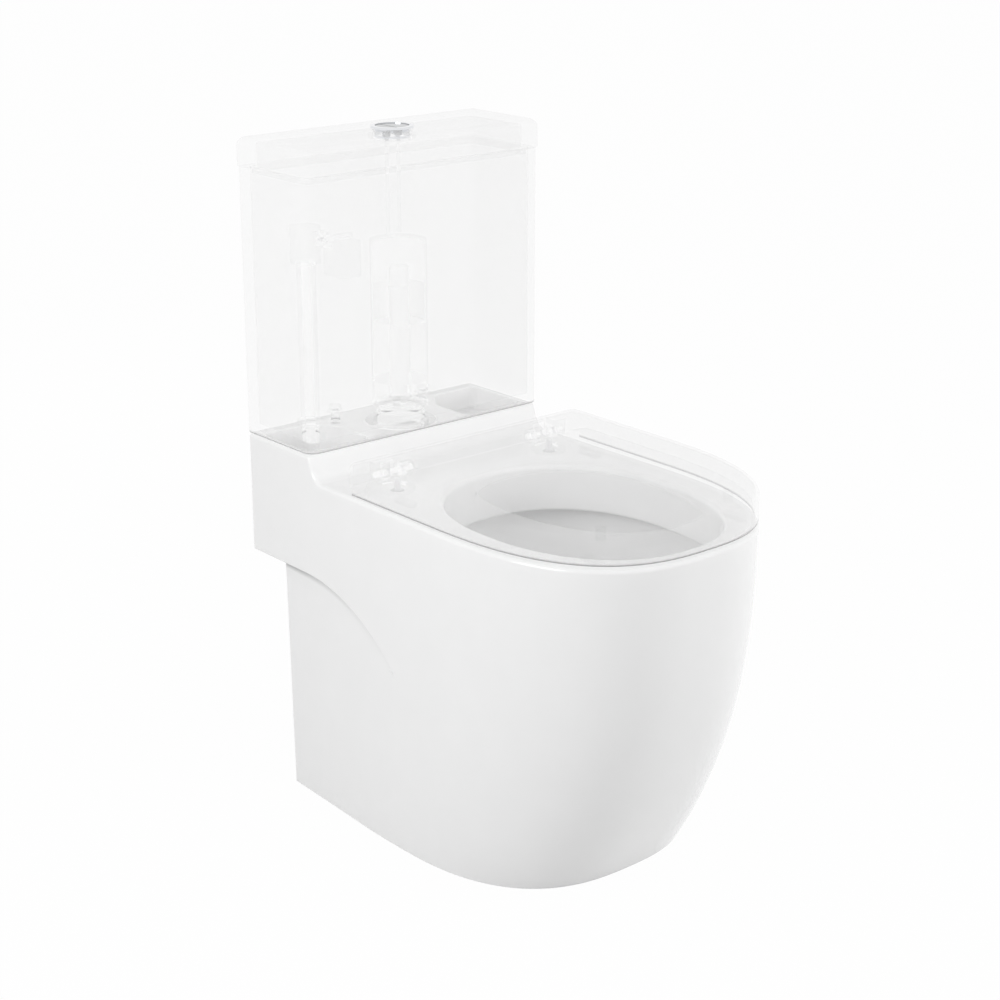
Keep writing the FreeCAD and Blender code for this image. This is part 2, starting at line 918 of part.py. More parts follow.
lug = block(
    "floor_lug",
    (lug_x - s.lug_width / 2, place(s.lug_distance + s.lug_length / 2), 0),
    (
        lug_x + s.lug_width / 2,
        place(s.lug_distance - s.lug_length / 2),
        s.lug_height,
    ),
)

pocket_space = platform_pocket()
supply_hole = ring(
    "supply_hole",
    0,
    s.supply_hole_radius,
    block_underside - s.overrun,
    platform_height,
    supply_x,
    place(s.supply_distance),
)
inlet_space = turned(
    "inlet_space",
    [
        (0, duct_bottom + s.duct_wall),
        (s.inlet_bore_radius, duct_bottom + s.duct_wall),
        (s.inlet_bore_radius, recess_floor),
        (s.inlet_recess_radius, recess_floor),
        (s.inlet_recess_radius, platform_height + s.overrun),
        (0, platform_height + s.overrun),
    ],
    0,
    inlet_y,
)
duct_space = block(
    "duct_space",
    (
        s.duct_wall - s.duct_width / 2,
        place(s.opening_centre_distance - s.opening_rear_length - s.rim_wall - s.rim_channel / 2),
        duct_bottom + s.duct_wall,
    ),
    (
        s.duct_width / 2 - s.duct_wall,
        place(s.inlet_distance - s.duct_width / 2 + s.duct_wall),
        duct_top - s.duct_wall,
    ),
)
bolt_hole = ring(
    "platform_bolt_hole",
    0,
    s.bolt_hole_radius,
    platform_underside - s.overrun,
    platform_height + s.overrun,
    s.bolt_spacing / 2,
    place(s.bolt_distance),
)
hinge_hole = ring(
    "deck_hinge_hole",
    0,
    s.hinge_hole_radius,
    deck_underside - s.overrun,
    s.rim_height + s.overrun,
    s.hinge_spacing / 2,
    place(s.hinge_hole_distance),
)
lug_hole = ring(
    "lug_hole",
    0,
    s.lug_hole_radius,
    lowest,
    s.lug_height + s.overrun,
    lug_x,
    place(s.lug_distance),
)
opening_well = extruded(
    "opening_well",
    opening_wire(float(s.rim_height - s.rim_wall_height - s.overrun), 0),
    s.rim_wall_height + s.overrun * 2,
)
opening_lead = loft(
    "opening_lead",
    [
        opening_wire(float(s.rim_height - s.opening_edge), 0),
        opening_wire(float(s.rim_height), s.opening_edge),
    ],
)
opening_space = fuse("opening_space", opening_well, opening_lead)

cups = pair("pocket_cups", cup)
pan_whole = fuse("pan_whole", shell, cups, inlet_cup, rim_ring, duct, pair("floor_lugs", lug))
pan_fired = cut(
    "pan_fired",
    pan_whole,
    pair("pocket_spaces", pocket_space),
    pair("supply_holes", supply_hole),
    inlet_space,
    duct_space,
    pair("platform_bolt_holes", bolt_hole),
    pair("deck_hinge_holes", hinge_hole),
    pair("lug_holes", lug_hole),
    opening_space,
)

bowl_block = common("bowl_block", bowl_outside, hollow)
bowl_fired = cut("bowl_fired", bowl_block, bowl_inside, trap_inside, duct_space)
trap_fired = cut("trap_fired", trap_outside, trap_inside, bowl_outside)

# The pan, its bowl and its trap are one fired piece. The solid is parted along planes here, so
# that each wall and each hollow can be stated by itself, and the parted faces touch.


def region(name, half, rear, front, low, high):
    """The space across the middle of the pan between two distances and two heights."""
    return block(name + "_region", (-half, place(front), low), (half, place(rear), high))


def parted(name, whole, space):
    """The part of a solid inside a space, and what is left of the solid."""
    return common(name, whole, space), cut(name + "_remainder", whole, space)


beyond_side = rim_half + s.overrun
beyond_front = s.projection + s.overrun
beyond_top = platform_height + s.overrun
riser_front = s.platform_depth + s.band_depth + s.cove_depth
duct_half = s.inlet_recess_radius + s.inlet_cup_wall
pocket_front = s.platform_depth - s.block_wall
cup_bottom = platform_height - s.pocket_depth - s.pocket_wall
opening_rear = s.opening_centre_distance - s.opening_rear_length
opening_front = s.opening_centre_distance + s.opening_front_length
ring_bottom = s.rim_height - s.rim_wall_height
plate_front = s.block_overhang + s.block_wall

platform_space = region(
    "pan_platform", beyond_side, -s.overrun, riser_front, platform_underside, beyond_top
)
duct_region = region(
    "pan_duct",
    duct_half,
    s.inlet_distance - duct_half,
    opening_rear - s.rim_wall - s.rim_channel / 2,
    duct_bottom,
    platform_underside,
)
pocket_region = region(
    "pan_pockets", inner_half_rear, s.block_wall, pocket_front, cup_bottom, platform_underside
)
block_region = region(
    "pan_block", beyond_side, -s.overrun, plate_front, block_underside, platform_underside
)
deck_region = region(
    "pan_deck",
    beyond_side,
    plate_front,
    s.opening_centre_distance,
    deck_underside,
    platform_underside,
)
rim_region = region(
    "pan_rim",
    beyond_side,
    s.opening_centre_distance,
    beyond_front,
    deck_underside,
    platform_underside,
)
lower_region = region(
    "pan_lower", beyond_side, -s.overrun, beyond_front, lowest, deck_underside
)
rim_wall_region = extruded(
    "pan_rim_wall_region",
    opening_wire(float(ring_bottom - s.overrun), s.rim_wall + s.rim_channel / 4),
    s.rim_wall_height,
)
pan_platform = common("pan_platform", pan_fired, platform_space)
pan_duct = common("pan_duct", pan_fired, duct_region)
pockets_whole = common("pan_pockets_whole", pan_fired, pocket_region)
pan_pockets = cut("pan_pockets", pockets_whole, duct_region)
block_whole = common("pan_block_whole", pan_fired, block_region)
pan_block = cut("pan_block", block_whole, duct_region, pocket_region)
deck_whole = common("pan_deck_whole", pan_fired, deck_region)
pan_deck = cut("pan_deck", deck_whole, duct_region, pocket_region)
pan_rim = common("pan_rim", pan_fired, rim_region)
lower_whole = common("pan_lower_whole", pan_fired, lower_region)
lower = cut("pan_lower", lower_whole, duct_region, block_region)
pan_rim_wall, remainder = parted("pan_rim_wall", lower, rim_wall_region)
lug_region = region(
    "pan_lugs",
    lug_wall,
    s.lug_distance - s.lug_length / 2,
    s.lug_distance + s.lug_length / 2,
    lowest,
    s.lug_height,
)
pan_lugs, remainder = parted("pan_lugs", remainder, lug_region)
nose_start = s.opening_centre_distance + s.opening_front_length / 4
nose_region = region(
    "pan_nose", beyond_side, nose_start, beyond_front, lowest, deck_underside
)
pan_nose, pan_sides = parted("pan_nose", remainder, nose_region)
right_region = block(
    "pan_right_region",
    (0, place(beyond_front), lowest),
    (beyond_side, place(-s.overrun), deck_underside),
)
pan_skirt_right, pan_skirt_left = parted("pan_skirt_right", pan_sides, right_region)

sump_top = s.trap_dip_height + s.spigot_radius * 2
sump_region = region("pan_sump", beyond_side, 0, beyond_front, lowest, sump_top)
pan_sump, pan_bowl = parted("pan_sump", bowl_fired, sump_region)
spigot_region = region(
    "pan_spigot", beyond_side, 0, s.spigot_bend_distance, lowest, s.rim_height
)
pan_spigot, trap_remainder = parted("pan_spigot", trap_fired, spigot_region)
crown_region = region(
    "pan_trapway", beyond_side, s.trap_crown_distance, beyond_front, lowest, s.rim_height
)
pan_trapway, pan_outlet = parted("pan_trapway", trap_remainder, crown_region)

# The cistern

tank_base = platform_height + s.cushion_thickness
tank_inner_floor = tank_base + s.tank_floor
tank_seam = tank_base + s.tank_height


def rectangle(body, half, rear, front, height):
    """An outline across the toilet between two distances from the wall."""
    corners = [
        (-half, place(rear)),
        (-half, place(front)),
        (half, place(front)),
        (half, place(rear)),
    ]
    return draw(body, "XY_Plane", corners, height)


def beyond(distance):
    """A test for upright edges that stand further from the wall than a distance."""
    return lambda edge: upright(edge) and edge.BoundBox.YMax < float(place(distance))


def nearer(distance):
    """A test for upright edges that stand nearer the wall than a distance."""
    return lambda edge: upright(edge) and edge.BoundBox.YMin > float(place(distance))


def tank_shell():
    """The cistern: a slim open box with rounded front corners."""
    body = new_body("tank_shell")
    outline = rectangle(body, rim_half, 0, s.tank_depth, tank_base)
    pad(body, outline, s.tank_height)
    soften(body, s.tank_front_corner, beyond(s.tank_depth / 2))
    soften(body, s.tank_rear_corner, nearer(s.tank_depth / 2))
    soften(body, s.tank_bottom_edge, level(tank_base))
    return body


def tank_space():
    """The water space inside the cistern."""
    body = new_body("tank_space")
    half = rim_half - s.tank_wall
    outline = rectangle(body, half, s.tank_wall, s.tank_depth - s.tank_wall, tank_inner_floor)
    pad(body, outline, tank_seam - tank_inner_floor + s.overrun)
    soften(body, s.tank_inner_corner, upright)
    return body


def floor_hole(name, radius, x, y):
    """A hole through the cistern's floor."""
    low, high = tank_base - s.overrun, tank_inner_floor + s.overrun
    return ring(name, 0, radius, low, high, x, y)


shank_y = place(s.supply_distance)
tank_bolt_hole = floor_hole(
    "tank_bolt_hole", s.bolt_hole_radius, s.bolt_spacing / 2, place(s.bolt_distance)
)
cistern_tank = cut(
    "cistern_tank",
    tank_shell(),
    tank_space(),
    floor_hole("valve_hole", s.valve_tail_radius + s.valve_hole_gap, 0, inlet_y),
    floor_hole("shank_hole", s.shank_radius + s.shank_hole_gap, -supply_x, shank_y),
    pair("tank_bolt_holes", tank_bolt_hole),
)


def cushion(name, rear):
    """A thin rubber pad on the platform, beside the flush inlet."""
    low = (s.cushion_offset, place(rear + s.cushion_width), platform_height)
    return block(name, low, (s.cushion_offset + s.cushion_length, place(rear), tank_base))


rear_cushion = cushion("rear_cushion", s.cushion_inset)
front_cushion = cushion(
    "front_cushion", s.platform_depth - s.cushion_inset - s.cushion_width
)
cistern_cushions = group(
    "cistern_cushions",
    rear_cushion,
    mirrored("rear_cushion_other", rear_cushion),
    front_cushion,
    mirrored("front_cushion_other", front_cushion),
)

gasket_inner = s.valve_nut_radius + s.gasket_gap
gasket_outer = s.inlet_recess_radius - s.gasket_gap
coupling_gasket = ring(
    "coupling_gasket", gasket_inner, gasket_outer, recess_floor, tank_base, 0, inlet_y
)

# The bolts under the cistern

bolt_x, bolt_y = s.bolt_spacing / 2, place(s.bolt_distance)
cone_top = tank_inner_floor + s.cone_washer_thickness
washer_low = platform_underside - s.bolt_washer_thickness
bolt_inner = s.bolt_radius + s.thread_gap
bolt = turned(
    "cistern_bolt",
    [
        (0, platform_underside - s.bolt_tail),
        (s.bolt_radius, platform_underside - s.bolt_tail),
        (s.bolt_radius, cone_top),
        (s.bolt_head_radius, cone_top),
        (s.bolt_head_radius, cone_top + s.bolt_head_height),
        (0, cone_top + s.bolt_head_height),
    ],
    bolt_x,
    bolt_y,
)
cistern_bolts = pair("cistern_bolts", bolt)
cone_washer = turned(
    "cone_washer",
    [
        (bolt_inner, tank_inner_floor),
        (s.cone_washer_radius, tank_inner_floor),
        (s.bolt_head_radius, cone_top),
        (bolt_inner, cone_top),
    ],
    bolt_x,
    bolt_y,
)
bolt_cone_washers = pair("bolt_cone_washers", cone_washer)
flat_washer = ring(
    "flat_washer", bolt_inner, s.bolt_washer_radius, washer_low, platform_underside, bolt_x, bolt_y
)
bolt_washers = pair("bolt_washers", flat_washer)
wing_low = washer_low - s.wing_nut_height
nut_barrel = ring("nut_barrel", 0, s.wing_nut_radius, wing_low, washer_low, bolt_x, bolt_y)
wings = block(
    "wings",
    (bolt_x - s.wing_span / 2, bolt_y - s.wing_thickness / 2, wing_low),
    (bolt_x + s.wing_span / 2, bolt_y + s.wing_thickness / 2, washer_low - s.wing_thickness),
)
nut_bore = ring(
    "nut_bore", 0, bolt_inner, wing_low - s.overrun, washer_low + s.overrun, bolt_x, bolt_y
)
wing_nut = cut("wing_nut", fuse("wing_nut_blank", nut_barrel, wings), nut_bore)
wing_nuts = pair("wing_nuts", wing_nut)

# The flush valve

valve_seat = tank_inner_floor + s.valve_washer_thickness + s.valve_flange_thickness
tail_end = tank_base - s.valve_tail_length
flush_valve_base = turned(
    "flush_valve_base",
    [
        (s.valve_bore_radius, tail_end),
        (s.valve_tail_radius, tail_end),
        (s.valve_tail_radius, tank_inner_floor + s.valve_washer_thickness),
        (s.valve_flange_radius, tank_inner_floor + s.valve_washer_thickness),
        (s.valve_flange_radius, valve_seat),
        (s.valve_bore_radius, valve_seat),
    ],
    0,
    inlet_y,
)
flush_valve_washer = ring(
    "flush_valve_washer",
    s.valve_tail_radius + s.thread_gap,
    s.valve_flange_radius,
    tank_inner_floor,
    tank_inner_floor + s.valve_washer_thickness,
    0,
    inlet_y,
)
flush_valve_nut = ring(
    "flush_valve_nut",
    s.valve_tail_radius + s.thread_gap,
    s.valve_nut_radius,
    tank_base - s.valve_nut_height,
    tank_base,
    0,
    inlet_y,
)
cage_top = valve_seat + s.cage_height
cage_bore = s.cage_radius - s.cage_wall
shelf = valve_seat + s.cage_shelf_height
cage_shell = turned(
    "cage_shell",
    [
        (cage_bore, valve_seat),
        (s.cage_radius, valve_seat),
        (s.cage_radius, cage_top),
        (0, cage_top),
        (0, cage_top - s.cage_top_thickness),
        (cage_bore, cage_top - s.cage_top_thickness),
        (cage_bore, shelf),
        (cage_bore - s.cage_shelf_width, shelf),
        (cage_bore - s.cage_shelf_width, shelf - s.cage_shelf_thickness),
        (cage_bore, shelf - s.cage_shelf_thickness),
    ],
    0,
    inlet_y,
)


def cage_window(name, across, along):
    """A box through the cage's foot that leaves its legs standing."""
    sill = valve_seat + s.cage_sill_height
    low = (-across, inlet_y - along, sill)
    return block(name, low, (across, inlet_y + along, sill + s.cage_window_height))


cage_reach = s.cage_radius + s.overrun
cage_half_window = s.cage_window_width / 2
flush_valve_cage = cut(
    "flush_valve_cage",
    cage_shell,
    cage_window("cage_window_across", cage_reach, cage_half_window),
    cage_window("cage_window_along", cage_half_window, cage_reach),
)
overflow_bore = s.overflow_radius - s.overflow_wall
seal_top = valve_seat + s.seal_thickness
valve_seal = ring(
    "valve_seal", overflow_bore, s.seal_radius, valve_seat, seal_top, 0, inlet_y
)
valve_core = turned(
    "valve_core",
    [
        (overflow_bore, seal_top),
        (s.core_flange_radius, seal_top),
        (s.core_flange_radius, seal_top + s.core_flange_thickness),
        (s.overflow_radius, seal_top + s.core_flange_thickness),
        (s.overflow_radius, seal_top + s.overflow_height),
        (overflow_bore, seal_top + s.overflow_height),
    ],
    0,
    inlet_y,
)
half_flush_float = ring(
    "half_flush_float",
    s.overflow_radius + s.half_float_gap,
    cage_bore - s.half_float_gap,
    shelf,
    shelf + s.half_float_height,
    0,
    inlet_y,
)

# The fill valve

fill_x = -supply_x
shank_upper = s.shank_radius + s.shank_shoulder
fill_seat = tank_inner_floor + s.fill_washer_thickness
riser_top = fill_seat + s.riser_height
fill_valve_riser = turned(
    "fill_valve_riser",
    [
        (s.shank_bore_radius, tank_base - s.shank_length),
        (s.shank_radius, tank_base - s.shank_length),
        (s.shank_radius, tank_base - s.shank_nut_height),
        (shank_upper, tank_base - s.shank_nut_height),
        (shank_upper, fill_seat),
        (s.fill_flange_radius, fill_seat),
        (s.fill_flange_radius, fill_seat + s.fill_flange_thickness),
        (s.riser_radius, fill_seat + s.fill_flange_thickness),
        (s.riser_radius, riser_top),
        (s.shank_bore_radius, riser_top),
    ],
    fill_x,
    shank_y,
)
fill_valve_washer = ring(
    "fill_valve_washer",
    shank_upper + s.thread_gap,
    s.fill_flange_radius,
    tank_inner_floor,
    fill_seat,
    fill_x,
    shank_y,
)


def hexagon(name, across_flats_radius, bore, low, high, x, y):
    """A six-sided nut about an upright axis."""
    body = new_body(name)
    corner = across_flats_radius / math.cos(math.pi / 6)
    corners = []
    for i in range(6):
        angle = math.pi * (2 * i + 1) / 6
        corners.append((x + corner * math.cos(angle), y + corner * math.sin(angle)))
    pad(body, draw(body, "XY_Plane", corners, low), high - low)
    hole = ring(name + "_hole", 0, bore, low - s.overrun, high + s.overrun, x, y)
    return cut(name + "_cut", body, hole)


fill_valve_nut = hexagon(
    "fill_valve_nut",
    s.shank_nut_radius,
    shank_upper + s.thread_gap,
    tank_base - s.shank_nut_height,
    tank_base,
    fill_x,
    shank_y,
)
head_top = riser_top + s.fill_head_height
float_pin_x = fill_x + s.float_pin_offset
float_pin_z = riser_top + s.float_pin_rise
ear_end = float_pin_x + s.fill_ear_length / 2
half_ear, half_slot = s.fill_ear_width / 2, s.fill_slot_width / 2
head_body = ring("head_body", 0, s.fill_head_radius, riser_top, head_top, fill_x, shank_y)
ears = block(
    "ears",
    (fill_x, shank_y - half_ear, float_pin_z - s.fill_ear_height / 2),
    (ear_end, shank_y + half_ear, float_pin_z + s.fill_ear_height / 2),
)
ear_slot = block(
    "ear_slot",
    (
        float_pin_x - s.float_boss_radius - s.half_float_gap,
        shank_y - half_slot,
        riser_top,
    ),
    (ear_end + s.overrun, shank_y + half_slot, head_top + s.overrun),
)
ear_hole = bar(
    "ear_hole",
    s.float_pin_radius + s.thread_gap,
    (float_pin_x, shank_y - half_ear - s.overrun, float_pin_z),
    s.fill_ear_width + s.overrun * 2,
    "y",
)
fill_valve_head = cut("fill_valve_head", fuse("head_blank", head_body, ears), ear_slot, ear_hole)
float_pin = bar(
    "float_pin",
    s.float_pin_radius,
    (float_pin_x, shank_y - half_ear, float_pin_z),
    s.fill_ear_width,
    "y",
)
arm_end = float_pin_x + s.float_arm_length
arm_half = s.float_arm_width / 2
arm_boss = bar(
    "arm_boss",
    s.float_boss_radius,
    (float_pin_x, shank_y - arm_half, float_pin_z),
    s.float_arm_width,
    "y",
)
arm_beam = block(
    "arm_beam",
    (float_pin_x, shank_y - arm_half, float_pin_z - s.float_arm_height / 2),
    (arm_end, shank_y + arm_half, float_pin_z + s.float_arm_height / 2),
)
arm_hole = bar(
    "arm_hole",
    s.float_pin_radius + s.pin_running_gap,
    (float_pin_x, shank_y - half_ear, float_pin_z),
    s.fill_ear_width,
    "y",
)
float_arm = cut("float_arm", fuse("arm_blank", arm_boss, arm_beam), arm_hole)


def fill_float():
    """The closed float that hangs from the end of the arm."""
    body = new_body("fill_float")
    top = float_pin_z - s.float_arm_height / 2
    low = top - s.float_height
    x, y = arm_end - s.float_length, s.float_width / 2
    corners = [
        (x, shank_y - y),
        (arm_end, shank_y - y),
        (arm_end, shank_y + y),
        (x, shank_y + y),
    ]
    pad(body, draw(body, "XY_Plane", corners, low), s.float_height)
    soften(body, s.float_edge, upright)
    return body


float_cup = fill_float()

# The lid and the flush buttons

lid_top = tank_seam + s.lid_height
lid_ceiling = lid_top - s.lid_wall
lid_half = rim_half + s.lid_overhang
lid_front = s.tank_depth + s.lid_overhang
button_y = place(s.tank_depth / 2)


def lid_shell():
    """The lid: a shallow upturned tray with a rounded top edge."""
    body = new_body("lid_shell")
    pad(body, rectangle(body, lid_half, 0, lid_front, tank_seam), s.lid_height)
    soften(body, s.tank_front_corner + s.lid_overhang, beyond(s.tank_depth / 2))
    soften(body, s.tank_rear_corner, nearer(s.tank_depth / 2))
    soften(body, s.lid_top_edge, level(lid_top))
    soften(body, s.lid_bottom_edge, level(tank_seam))
    return body


def lid_lip():
    """The lip under the lid that keeps it on the cistern."""
    body = new_body("lid_lip")
    inset = s.tank_wall + s.lid_lip_gap
    low = tank_seam - s.lid_lip_height
    half, front = rim_half - inset, s.tank_depth - inset
    pad(body, rectangle(body, half, inset, front, low), lid_ceiling - low)
    soften(body, s.tank_inner_corner, upright)
    return body


def lid_space():
    """The hollow under the lid."""
    body = new_body("lid_space")
    inset = s.tank_wall + s.lid_lip_gap + s.lid_lip_wall
    low = tank_seam - s.lid_lip_height - s.overrun
    half, front = rim_half - inset, s.tank_depth - inset
    pad(body, rectangle(body, half, inset, front, low), lid_ceiling - low)
    soften(body, s.tank_inner_corner, upright)
    return body


bezel_hole = ring(
    "bezel_hole",
    0,
    s.bezel_tail_radius + s.bezel_hole_gap,
    lid_ceiling - s.overrun,
    lid_top + s.overrun,
    0,
    button_y,
)
cistern_lid = cut("cistern_lid", fuse("lid_blank", lid_shell(), lid_lip()), lid_space(), bezel_hole)

bezel_low = lid_top - s.bezel_depth
bezel_floor_top = bezel_low + s.bezel_floor
bezel_cup = turned(
    "bezel_cup",
    [
        (0, bezel_low),
        (s.bezel_tail_radius, bezel_low),
        (s.bezel_tail_radius, lid_top),
        (s.bezel_radius, lid_top),
        (s.bezel_radius - s.bezel_rise / 2, lid_top + s.bezel_rise),
        (s.bezel_bore_radius, lid_top + s.bezel_rise),
        (s.bezel_bore_radius, bezel_floor_top),
        (0, bezel_floor_top),
    ],
    0,
    button_y,
)
rod_hole = ring(
    "rod_hole",
    0,
    s.rod_radius + s.rod_hole_gap,
    bezel_low - s.overrun,
    bezel_floor_top + s.overrun,
    s.rod_spacing / 2,
    button_y,
)
button_bezel = cut("button_bezel", bezel_cup, pair("rod_holes", rod_hole))
bezel_nut = ring(
    "bezel_nut",
    s.bezel_tail_radius + s.thread_gap,
    s.bezel_nut_radius,
    lid_ceiling - s.bezel_nut_height,
    lid_ceiling,
    0,
    button_y,
)

button_low = lid_top + s.button_rise - s.button_thickness
button_high = lid_top + s.button_rise
button_radius = s.bezel_bore_radius - s.button_gap
split = -s.button_split_offset


def button(name, low_x, high_x):
    """The part of the round button between two upright planes."""
    disc = ring(name + "_disc", 0, button_radius, button_low, button_high, 0, button_y)
    reach = button_radius + s.overrun
    low = (low_x, button_y - reach, button_low - s.overrun)
    side = block(name + "_side", low, (high_x, button_y + reach, button_high + s.overrun))
    return common(name, disc, side)


button_full = button("button_full", split + s.button_split / 2, button_radius + s.overrun)
button_half = button("button_half", -button_radius - s.overrun, split - s.button_split / 2)
rod_end = cage_top + s.rod_stand_off


def push_rod(name, x):
    """The rod that carries a button's travel down to the flush valve."""
    return ring(name, 0, s.rod_radius, rod_end, button_low, x, button_y)


full_rod = push_rod("full_rod", s.rod_spacing / 2)
half_rod = push_rod("half_rod", -s.rod_spacing / 2)


def coil_spring(name, x):
    """A spring round a rod, between the bezel's floor and the button, as a coil of round wire."""
    wire = float(s.spring_wire_radius)
    height = float(button_low - bezel_floor_top) - 2 * wire
    radius = float(s.spring_radius) - wire
    helix = Part.makeLongHelix(height / SPRING_TURN_COUNT, height, radius)
    start = helix.Edges[0].Vertexes[0].Point
    circle = Part.Wire([Part.makeCircle(wire, start, Vector(0, 1, 0))])
    coil = Part.Wire(helix.Edges).makePipeShell([circle], True, True)
    feature = shaped(name, coil)
    return move(feature, x, button_y, bezel_floor_top + s.spring_wire_radius)


full_spring = coil_spring("full_spring", s.rod_spacing / 2)
half_spring = coil_spring("half_spring", -s.rod_spacing / 2)

# The seat and its cover

cover_half = rim_half
cover_top = s.rim_height + s.cover_height
cover_bottom = s.rim_height + s.cover_gap
cover_front = s.projection - s.cover_front_inset
seat_bottom = s.rim_height + s.seat_gap
seat_top = seat_bottom + s.seat_thickness
axis_y = place(s.hinge_axis_distance)
axis_z = s.rim_height + s.hinge_axis_rise


def seat_wire(height, inset, rear):
    """The seat's or cover's outline: the rim's nose, with a straight rear edge."""
    half = cover_half - inset
    front = cover_front - inset
    straight = s.rim_straight_distance
    return nosed_wire(height, half, half, rear, straight, front, float(s.nose_power_share))


def cover_shell():
    """The cover wraps over the seat down to a shadow gap above the rim."""
    outline = seat_wire(float(cover_bottom), 0, float(s.cover_rear_distance))
    outside = extruded("cover_outside", outline, cover_top - cover_bottom)
    cornered = rounded("cover_cornered", outside, s.cover_corner, rear_corner)
    crowned = rounded("cover_crowned", cornered, s.cover_edge, level(cover_top))
    inner_rear = float(s.cover_rear_distance + s.cover_wall)
    inner = seat_wire(float(cover_bottom - s.overrun), s.cover_wall, inner_rear)
    inner_height = cover_top - s.cover_wall - cover_bottom + s.overrun
    inside = extruded("cover_inside", inner, inner_height)
    inner_cornered = rounded(
        "cover_inside_cornered", inside, s.cover_corner - s.cover_wall, rear_corner
    )
    rear_relief = block(
        "cover_rear_relief",
        (
            -cover_half - s.overrun,
            place(s.cover_rear_distance + s.cover_corner),
            cover_bottom - s.overrun,
        ),
        (
            cover_half + s.overrun,
            place(s.cover_rear_distance - s.overrun),
            s.rim_height + s.cover_rear_gap,
        ),
    )
    post_notch = block(
        "cover_post_notch",
        (
            post_left - s.hinge_notch_gap,
            place(s.cover_rear_distance + s.cover_wall + s.hinge_notch_gap),
            cover_bottom - s.overrun,
        ),
        (
            post_right + s.hinge_notch_gap,
            place(s.cover_rear_distance - s.overrun),
            axis_z + s.hinge_barrel_radius + s.hinge_notch_gap,
        ),
    )
    notches = pair("cover_post_notches", post_notch)
    return cut("cover_shell", crowned, inner_cornered, rear_relief, notches)


def rear_corner(edge):
    """The upright edges at the rear, not the joints of the nose."""
    return upright(edge) and edge.BoundBox.YMin > float(place(s.seat_rear_distance + s.overrun))


post_left = s.hinge_spacing / 2 - s.hinge_post_width / 2
post_right = s.hinge_spacing / 2 + s.hinge_post_width / 2
seat_lug_end = post_left - s.hinge_lug_gap
cover_lug_start = post_right + s.hinge_lug_gap
damper_radius = s.hinge_pin_radius + s.pin_running_gap + s.damper_wall


def hinge_lug(name, start, bore, web_low, web_high):
    """A barrel about the hinge line with a web to what it carries, on both sides."""
    end = start + s.hinge_lug_width
    barrel = bar(
        name + "_barrel", s.hinge_barrel_radius, (start, axis_y, axis_z), s.hinge_lug_width
    )
    web = block(name + "_web", (start, web_low[0], web_low[1]), (end, web_high[0], web_high[1]))
    blank = fuse(name + "_blank", barrel, web)
    hole = bar(
        name + "_bore",
        bore,
        (start - s.overrun, axis_y, axis_z),
        s.hinge_lug_width + s.overrun * 2,
    )
    return pair(name, cut(name + "_side", blank, hole))


def seat_body():
    """The seat ring, with a softened top and its two hinge lugs."""
    inset = s.cover_wall + s.seat_side_gap
    outline = seat_wire(float(seat_bottom), inset, float(s.seat_rear_distance))
    outside = extruded("seat_outside", outline, s.seat_thickness)
    opening = extruded(
        "seat_opening",
        egg_wire(
            float(seat_bottom - s.overrun),
            s.seat_opening_width / 2,
            s.seat_opening_centre_distance,
            s.seat_opening_rear_length,
            s.seat_opening_front_length,
            float(s.opening_power_share),
        ),
        s.seat_thickness + s.overrun * 2,
    )
    cornered = rounded("seat_cornered", outside, s.seat_corner, rear_corner)
    softened = rounded("seat_softened", cornered, s.seat_edge, level(seat_top))
    holed = cut("seat_holed", softened, opening)
    crowned = rounded("seat_crowned", holed, s.seat_edge, opening_edge)
    lugs = hinge_lug(
        "seat_lugs",
        seat_lug_end - s.hinge_lug_width,
        damper_radius,
        (place(s.seat_rear_distance + s.seat_corner), axis_z - s.hinge_barrel_radius / 2),
        (axis_y, seat_top),
    )
    space = bar(
        "seat_hinge_space",
        damper_radius,
        (-s.hinge_spacing, axis_y, axis_z),
        s.hinge_spacing * 2,
    )
    return cut("seat_ring", fuse("seat_blank", crowned, lugs), space)


def opening_edge(edge):
    """The upper edge of the seat's opening."""
    box = edge.BoundBox
    inside = box.XMax < float(s.seat_opening_width / 2 + s.overrun)
    return level(seat_top)(edge) and inside and not isinstance(edge.Curve, Part.Line)


seat_ring = seat_body()
cover_lugs = hinge_lug(
    "cover_lugs",
    cover_lug_start,
    s.hinge_pin_radius + s.pin_running_gap,
    (axis_y - s.hinge_barrel_radius, axis_z),
    (axis_y + s.hinge_barrel_radius, cover_top - s.cover_wall / 2),
)
seat_cover_blank = fuse("seat_cover_blank", cover_shell(), cover_lugs)
pin_space = bar(
    "cover_pin_space",
    s.hinge_pin_radius + s.pin_running_gap,
    (-s.hinge_spacing / 2 - s.hinge_post_width * 2, axis_y, axis_z),
    s.hinge_spacing + s.hinge_post_width * 4,
)
seat_cover = cut("seat_cover", seat_cover_blank, pin_space)

damper = cut(
    "hinge_damper",
    bar(
        "damper_body",
        damper_radius,
        (seat_lug_end - s.hinge_lug_width, axis_y, axis_z),
        s.hinge_lug_width,
    ),
    bar(
        "damper_bore",
        s.hinge_pin_radius + s.pin_running_gap,
        (seat_lug_end - s.hinge_lug_width - s.overrun, axis_y, axis_z),
        s.hinge_lug_width + s.overrun * 2,
    ),
)
hinge_dampers = pair("hinge_dampers", damper)

pin_start = seat_lug_end - s.hinge_lug_width
pin_length = cover_lug_start + s.hinge_lug_width - pin_start
hinge_pin = bar("hinge_pin", s.hinge_pin_radius, (pin_start, axis_y, axis_z), pin_length)
hinge_pins = pair("hinge_pins", hinge_pin)

